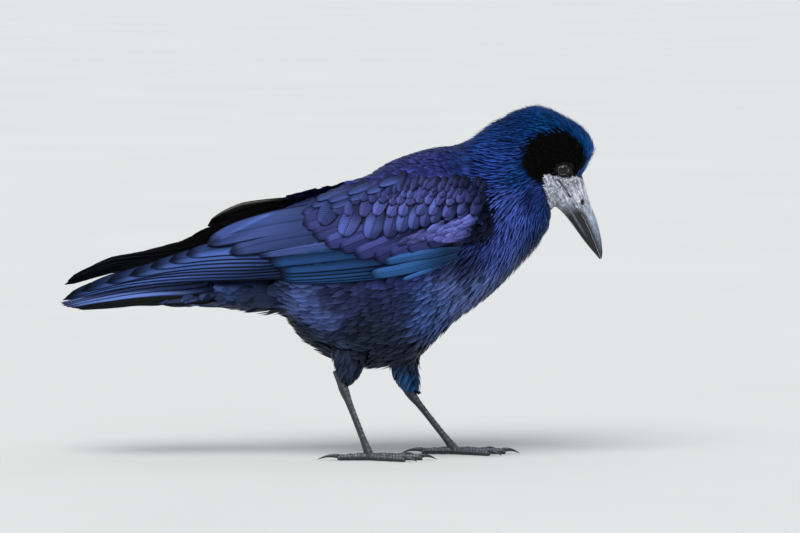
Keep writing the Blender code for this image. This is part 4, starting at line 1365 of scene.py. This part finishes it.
# name, table, colour, material, rows, columns, rounding, thickness, crown, tilt, narrowing, fade
WING_ROWS = (
    ("primaries", PRIMARIES, PRIMARY_BLUE, stacked_material, 30, 8, 0.14, 0.25, 0.01, 0.0, 0.50),
    ("secondaries", SECONDARIES, SECONDARY_TEAL, stacked_material,
     20, 8, 0.10, 0.25, 0.01, 0.0, 0.12),
    ("tertials", TERTIALS, TERTIAL_VIOLET, quill_material, 24, 8, 0.26, 0.40, 0.06, 0.0, 0.42),
    ("alula", ALULA, ALULA_TEAL, quill_material, 16, 6, 0.2, 0.40, 0.08, 0.0, 0.2),
    ("greater_coverts", GREATER_COVERTS, GREATER_PLUM, quill_material,
     16, 8, 0.25, 0.3, 0.05, 0.0, 0.1),
    ("median_coverts", MEDIAN_COVERTS, MEDIAN_VIOLET, covert_material,
     14, 8, 0.52, 0.25, 0.04, 0.16, 0.0),
    ("lesser_coverts", covert_rows(LESSER_ROWS, LESSER_LIE, 7), LESSER_VIOLET, covert_material,
     12, 8, 0.58, 0.2, 0.04, 0.16, 0.0, TO_WRIST),
    ("wrist_coverts", covert_rows(WRIST_ROWS, WRIST_LIE, 9), WRIST_SHEEN_LAVENDER, wrist_material,
     12, 6, 0.55, 0.2, 0.02, 0.08, 0.1, FROM_WRIST),
    ("small_coverts", covert_rows(SMALL_ROWS, LESSER_LIE, 11), LESSER_VIOLET, small_material,
     10, 6, 0.65, 0.2, 0.04, 0.12, 0.0, TO_WRIST),
)
for letter, side in SIDES:
    face = wing_face(letter, side)
    for title, *settings in WING_ROWS:
        made = drape(letter, side, face, title, *settings)
        if title in ("primaries", "secondaries"):
            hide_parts("wing_" + title + "_" + letter)
    drape(letter, side, form_face(side), "vent_coverts", VENT_COVERTS, VENT_BLUE, vent_material,
          14, 8, 0.5, 0.25, 0.05, 0.0, 0.0, None, False, "plumage")
    count = len(SCAPULARS)
    starts = np.array([struck(form_tree, side, x, z) for x, z, _, _ in SCAPULARS], float)
    long, wide = np.array(SCAPULARS).T[2:]
    walked = walk(starts, long, np.zeros(count), 12, np.zeros(count), *FORM)
    share = np.linspace(0, 1, 13)[None]
    layer = np.linspace(0.4, 1.6, count)[:, None]
    height = 0.5 + layer * share ** 0.5 - 1.6 * (1 - share)
    half = wide[:, None] / 2 * vane_outline(share, np.full((count, 1), 0.1))
    tones = np.array(SCAPULAR_BLUE) * np.linspace(0.85, 1.15, count)[:, None]
    add_vanes("scapulars_" + letter, starts, walked, height, half, half * 0.05, tones, 8,
              covert_material, FORM)

# --- the tail ---------------------------------------------------------------------------
# Twelve long quills rooted in the tail's stump, closed like a fan and arched like a roof: the
# middle pair lies on top, and the outer pairs slope steeply down into shade, painted near black.
TAIL_PAIRS = 6
TAIL_ROOT = -66.0
TAIL_TIP = -185.2
# half the tail's width along its length: x, width
TAIL_HALF = ((-179, 23.5), (-168, 26), (-152, 27.3), (-130, 26.4), (-105, 24.5),
             (-84, 22.5), (-66, 18))
TAIL_STEP_BACK = (0, 0.6, 2, 4.6, 8.4, 13)    # how much shorter each pair is
TAIL_WIDTH = 15.0
TAIL_VIOLET = (0.150, 0.250, 0.680)
PAINTED_TAIL_SHADE = (0.0022, 0.0025, 0.003)

tail_tree = felt(*cad_shape("tail"))
TAIL_LOW = np.array((-195.0, -36.0))
# how high the roof of the tail is, over x and y
roof = np.full((96, 49), np.nan)
for a, b in np.ndindex(roof.shape):
    x, y = TAIL_LOW + np.array((a, b)) * FACE_STEP
    hit = tail_tree.ray_cast((x, y, 200.0), (0.0, 0.0, -1.0))[0]
    if hit is not None:
        roof[a, b] = hit[2]
roof = fill_map(roof)
share = np.linspace(0, 1, 28)
steps = np.linspace(-1, 1, 7)
uppers, lowers, tones = [], [], []
# the outermost pair first, each next one over it
for pair in range(TAIL_PAIRS - 1, -1, -1):
    for side in (1, -1):
        place = side * (pair + 0.5)
        tip_x = TAIL_TIP + TAIL_STEP_BACK[pair]
        x = TAIL_ROOT + (tip_x - TAIL_ROOT) * share
        y = place / TAIL_PAIRS * (sampled(x, TAIL_HALF) - 1.5)
        half = TAIL_WIDTH / 2 * blade_outline(share, 0.10)
        slope = math.cos(math.radians(min(62.0, abs(place) * 12.0)))
        across_y = y[:, None] + half[:, None] * steps * slope
        flat = np.stack((np.broadcast_to(x[:, None], across_y.shape), across_y), -1)
        layer = -0.25 * pair - 0.05 * (side > 0)
        height = look_up(roof, TAIL_LOW, flat) + layer - 0.02 * half[:, None] * steps ** 2
        body = thickness(steps, len(share))
        uppers.append(np.dstack((flat, height + 0.1)))
        lowers.append(np.dstack((flat, height + 0.1 - 0.5 * body)))
        # painted shade: the two outer pairs, sloping down, are painted near black
        tones.append(TAIL_VIOLET if pair < 4 else PAINTED_TAIL_SHADE)
tail = add_blades("tail_feathers", np.array(uppers), np.array(lowers), np.array(tones),
                  quill_material)
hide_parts("tail")

# --- the eyes ---------------------------------------------------------------------------
# Each eye is a glass ball with a dark brown iris, set in the head so that only its front
# shows through the lids, which are rolled rings of grey skin with pale flecks.
EYE_BALL = 6.0
CORNEA = 0.35                   # how far the clear front bulges
IRIS_REACH = 3.6
PUPIL_REACH = 1.9
IRIS_BROWN = (0.012, 0.007, 0.004)
IRIS_RIM = (0.016, 0.008, 0.005)
PUPIL_BLACK = (0.001, 0.001, 0.001)
LID_DARK = (0.012, 0.013, 0.014)
LID_FLECK = (0.22, 0.24, 0.24)
EYE_AROUND = 48                 # points in each ring round the eye
LID_PROFILE = ((3.22, 5.05), (3.16, 5.25), (3.28, 5.45), (3.55, 5.46), (3.90, 5.22),
               (4.50, 4.70), (5.40, 3.80), (6.40, 2.60))    # reach and height of the lid's roll
LID_RIM = 3.9                   # only the rim of the lids is flecked
LID_FLAT = 0.88                 # how much lower than wide the opening is


look = Look("eye")
wobble = look.plus(look.kept("FromAxis"), look.times(look.noise(2400.0, 4.0), 0.05))
pupil_edge, iris_edge = PUPIL_REACH / EYE_BALL, IRIS_REACH / EYE_BALL
eye_material = look.finish(
    Base_Color=look.ramp(wobble, (0.0, PUPIL_BLACK), (pupil_edge, PUPIL_BLACK),
                         (pupil_edge + 0.05, IRIS_BROWN), (iris_edge, IRIS_RIM),
                         (iris_edge + 0.08, PUPIL_BLACK)),
    Roughness=0.12, Specular_IOR_Level=0.20, Coat_Weight=0.25, Coat_Roughness=0.02)

look = Look("eyelids")
speck = look.noise(1300.0, 2.0)
flecked = look.ramp(speck, (0.50, LID_DARK), (0.60, LID_FLECK))
lid_material = look.finish(Base_Color=look.scaled(flecked, look.kept("Rim")), Roughness=0.6,
                           Specular_IOR_Level=0.2, Normal=look.bump(speck, 0.8, 0.0003))

angles = np.linspace(0, 2 * math.pi, EYE_AROUND, endpoint=False)
for letter, side in SIDES:
    middle = np.array((EYE[0], side * EYE[1], EYE[2]))
    rings, reaches = [], []
    for polar in np.linspace(0.02, math.pi * 0.75, 22):
        bulge = CORNEA * (1 - eased(0.0, 0.75, polar))
        reach = EYE_BALL * math.sin(polar)
        rings.append(ring_round(middle + Y_WAY * side * (EYE_BALL * math.cos(polar) + bulge),
                                X_WAY, Z_WAY, reach, reach, EYE_AROUND))
        reaches += [reach / EYE_BALL if polar < math.pi / 2 else 1.0] * EYE_AROUND
    ball = build_mesh("eyeball_" + letter, loft(rings, side > 0), eye_material)
    keep(ball.data, "FromAxis", reaches)
    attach(ball, "root")
    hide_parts("eye_" + letter)

    rings, rim_share = [], []
    for reach, height in LID_PROFILE:
        squeeze = LID_FLAT + (1 - LID_FLAT) * eased(3.9, 6.0, reach)
        ring = ring_round(middle + Y_WAY * side * height, X_WAY, Z_WAY, reach, reach * squeeze,
                          EYE_AROUND)
        fold = 0.10 * np.sin(angles * 17 + reach * 3) + 0.07 * np.sin(angles * 29 - reach * 5)
        ring[:, 1] += side * fold * eased(3.8, 4.2, reach)
        rings.append(ring)
        # painted shade: outside its rim each lid is darkened to match the shaded plumage round the eye
        rim_share += [1.0 if reach < LID_RIM else 0.15] * EYE_AROUND
    lids = build_mesh("eyelids_" + letter, loft(rings, side > 0, False), lid_material)
    keep(lids.data, "Rim", rim_share)
    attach(lids, "root")

# --- the bill ---------------------------------------------------------------------------
# Two horn sheaths fixed over the jaws, with a fine dark line between them. The upper one is
# pale and worn at its root, slate further out and dark at the tip; the lower one is dark.
BILL_GRAIN = 0.42
HORN_SLATE = (0.270, 0.330, 0.460)
HORN_DARK = (0.003, 0.004, 0.003)
HORN_TIP = (0.016, 0.020, 0.028)

look = Look("bill horn")
scratch = look.noise(1500.0, 4.0, along_bill(look, 9.0))
bloom = look.span(look.noise(260.0, 4.0), 0.3, 0.7, 0.78, 1.12)
shade = look.times(look.span(scratch, 0.35, 0.62, 0.50, 1.18), bloom)
bill_material = look.finish(
    Base_Color=look.scaled(look.kept("Tone", "Color"), shade),
    Roughness=look.span(scratch, 0.3, 0.7, 0.34, 0.50), Normal=look.bump(scratch, 0.5, 0.00012))

for node in ("bill_upper", "bill_lower"):
    solid = cad_shape(node)
    closed = 0.22 if node == "bill_lower" else 0.0    # the lower sheath closes on the upper
    horn = remeshed("horn_" + node[5:], [solid], BILL_GRAIN, closed, bill_material, 6)
    points = mesh_points(horn.data)
    lost = ((solid[0] - BILL_ROOT) @ BILL_WAY).max() - ((points - BILL_ROOT) @ BILL_WAY).max()
    along = (points - BILL_ROOT) @ BILL_WAY / BILL_LENGTH
    points = points + BILL_WAY * (lost * eased(0.75, 1.0, along))[:, None]
    height = (points - BILL_ROOT) @ BILL_RIDGE_WAY
    tip_share = eased(0.48, 0.98, along)[:, None]
    if node == "bill_upper":
        # how far up from the mouth's edge to the ridge each point is
        part = np.clip((along * 30).astype(int), 0, 29)
        lowest, highest = np.full(30, 1e9), np.full(30, -1e9)
        np.minimum.at(lowest, part, height)
        np.maximum.at(highest, part, height)
        upness = (height - lowest[part]) / np.maximum(highest[part] - lowest[part], 0.5)
        pale = eased(0.62, 0.15, along)[:, None]
        colour = np.array(HORN_PALE) * pale + np.array(HORN_SLATE) * (1 - pale)
        mouth_dark = (eased(0.50, 0.12, upness) * eased(0.10, 0.34, along))[:, None]
        colour = colour * (1 - 0.90 * mouth_dark) * (1 - tip_share) + np.array(HORN_TIP) * tip_share
        pit, lip = nostril_pit(points)
        # painted shade: the nostril's pit is painted near black
        colour = colour * (1 - 0.98 * pit)[:, None]
        points = points - mesh_normals(horn.data) * (NOSTRIL_DEEP * pit)[:, None]
    else:
        dark = eased(0.02, 0.30, along)[:, None]
        colour = np.array(HORN_PALE) * 0.7 * (1 - dark) + np.array(HORN_DARK) * dark
        stripe = np.exp(-((height + 5.5 - 3.4 * along) / 0.7) ** 2) * eased(0.7, 0.3, along)
        stripe = 0.6 * stripe[:, None]
        colour = colour * (1 - stripe) + np.array(HORN_SLATE) * stripe
    set_points(horn.data, points)
    keep(horn.data, "Tone", colour)
    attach(horn, "root")
    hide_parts(node)

# --- the legs and feet ------------------------------------------------------------------
# Slim shanks and four toes in dark horny scales: overlapping plates in front and on top, a
# fine net of scales behind, and soft pads below. Each toe ends in a hard black curved claw.
LEG_GRAIN = 0.42
LEG_DARK = (0.014, 0.015, 0.018)
LEG_LIGHT = (0.105, 0.120, 0.145)
CLAW_BLACK = (0.010, 0.010, 0.011)
CLAW_GREY = (0.050, 0.052, 0.058)
STANCE = 21.0                   # each leg's distance from the middle plane
# each shank's top, inside the feathers of the thigh, and its foot: x, z
SHANKS = {"R": ((3.9, 61.7), (25.5, 5.6)), "L": ((50.8, 46.5), (83, 5.6))}
# up the shank from the foot: distance, half depth, half width
SHANK_PROFILE = ((-3.5, 3, 3), (0, 3.1, 2.9), (4, 2.7, 2.4), (10, 2.3, 2),
                 (28, 2.2, 1.9), (38, 2.5, 2.1), (43, 3.2, 2.7), (47, 3.4, 2.9),
                 (52, 3, 2.8), (60, 2.9, 2.8))
# toes: heading from straight on, length, claw length, thickness at the root
TOES = ((-27, 29, 11, 5.4), (-1, 37, 12, 5.8), (25, 28, 10.5, 5.2),
        (178, 21, 15, 5.8))
PLATE_SHANK = 3.4               # length of one plate of the shank, and of a toe
PLATE_TOE = 2.3
PADS = (0.30, 0.60, 0.88)       # shares of a toe's length where a pad swells


look = Look("leg scales")
plated = look.kept("Front")
plate_part = look.maths("FRACT", look.kept("Plate"))
plate_edge = look.times(look.span(plate_part, 0.0, 0.16), look.span(plate_part, 0.99, 0.94))
net = look.add("TexVoronoi", {"Vector": look.place(), "Scale": 900.0}, feature="DISTANCE_TO_EDGE")
net_cell = look.span(net.outputs["Distance"], 0.0, 0.16)
both = look.plus(look.times(plate_edge, plated), look.times(net_cell, look.minus(1.0, plated)))
shade = look.times(both, look.span(look.noise(420.0, 4.0), 0.3, 0.7, 0.35, 1.0))
# painted shade: the back of each shank and the underside of each toe, away from the plates, are darker
shade = look.times(shade, look.span(plated, 0.0, 1.0, 0.35, 1.0))
leg_material = look.finish(Base_Color=look.ramp(shade, (0.0, LEG_DARK), (1.0, LEG_LIGHT)),
                           Roughness=0.40, Normal=look.bump(both, 0.8, 0.00035))

look = Look("claw horn")
grain = look.noise(700.0)
claw_material = look.finish(Base_Color=look.ramp(grain, (0.35, CLAW_BLACK), (0.75, CLAW_GREY)),
                            Roughness=0.28, Normal=look.bump(grain, 0.3, 0.0001))

for letter, side in SIDES:
    (top_x, top_z), (foot_x, foot_z) = SHANKS[letter]
    foot = np.array((foot_x, side * STANCE, foot_z))
    rise = unit(np.array((top_x - foot_x, 0.0, top_z - foot_z)))
    ahead = np.array((rise[2], 0.0, -rise[0]))
    long = math.hypot(top_x - foot_x, top_z - foot_z)
    runs, depths, widths = zip(*SHANK_PROFILE)
    rings = []
    for run in np.linspace(-3.5, long, 40):
        deep, wide = np.interp(run, runs, depths), np.interp(run, runs, widths)
        rings.append(ring_round(foot + rise * run, ahead, Y_WAY, deep, wide))
    shapes = [loft(rings)]
    bones = [(foot, foot + rise * long, ahead, PLATE_SHANK)]
    claws = []
    for heading, length, claw, thick in TOES:
        turn = math.radians(heading * side)
        way = np.array((math.cos(turn), math.sin(turn), 0.0))
        aside = np.array((-math.sin(turn), math.cos(turn), 0.0))
        root = np.array((foot_x, side * STANCE, 0.0))
        rings = []
        for share in np.linspace(-0.08, 1.0, 40):
            pad = sum(math.exp(-((share - place) / 0.085) ** 2) for place in PADS)
            half = thick / 2 * (1 - 0.30 * max(share, 0.0)) * (0.86 + 0.16 * pad)
            if share > 0.93:
                half *= math.sqrt(max(1 - ((share - 0.93) / 0.08) ** 2, 0.05))
            tall = half * 1.02
            middle = root + way * length * share + Z_WAY * (tall * 0.96 + 0.25 * (1 - pad))
            ring = ring_round(middle, aside, Z_WAY, half * 0.98, tall)
            ring[:, 2] = np.maximum(ring[:, 2], 0.02)
            rings.append(ring)
        shapes.append(loft(rings))
        bones.append((root - way * 2.0 + Z_WAY * 2.0, root + way * length + Z_WAY * 1.5, Z_WAY,
                      PLATE_TOE))
        rings = []
        tip_half = thick / 2 * 0.60
        for share in np.linspace(0.0, 1.0, 16):
            size = tip_half * ((1 - share) ** 0.8 * 0.92 + 0.06)
            arch = 1.25 + 0.95 * math.sin(math.pi * (0.12 + 0.72 * share)) - 1.35 * share ** 1.6
            middle = root + way * (length * 0.94 + claw * share)
            middle += Z_WAY * max(tip_half * arch, size + 0.02)
            rings.append(ring_round(middle, aside, Z_WAY, size * 0.72, size, 14))
        claws.append(loft(rings))
    leg = remeshed("leg_" + letter, shapes, LEG_GRAIN, 0.0, leg_material, 3)
    points, normals = mesh_points(leg.data), mesh_normals(leg.data)
    nearest = np.full(len(points), 1e9)
    plate_place = np.zeros(len(points))
    front = np.zeros(len(points))
    for start, end, facing, pitch in bones:
        reach = end - start
        along = (points - start) @ unit(reach)
        inside = np.clip(along, 0, np.linalg.norm(reach))
        away = np.linalg.norm(points - start - inside[:, None] * unit(reach), axis=1)
        closer = away < nearest
        nearest = np.where(closer, away, nearest)
        plate_place = np.where(closer, along / pitch + 20.0, plate_place)
        front = np.where(closer, eased(-0.25, 0.25, normals @ facing), front)
    step = plate_place % 1.0
    points = points + normals * ((0.5 - step) * -0.22 * front)[:, None]
    points[:, 2] = np.maximum(points[:, 2], 0.0)
    set_points(leg.data, points)
    keep(leg.data, "Plate", plate_place)
    keep(leg.data, "Front", front)
    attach(leg, "root")
    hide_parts("tarsus_" + letter, "foot_" + letter)
    claw_set = build_mesh("claws_" + letter, joined(claws), claw_material)
    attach(claw_set, "root")

low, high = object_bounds()
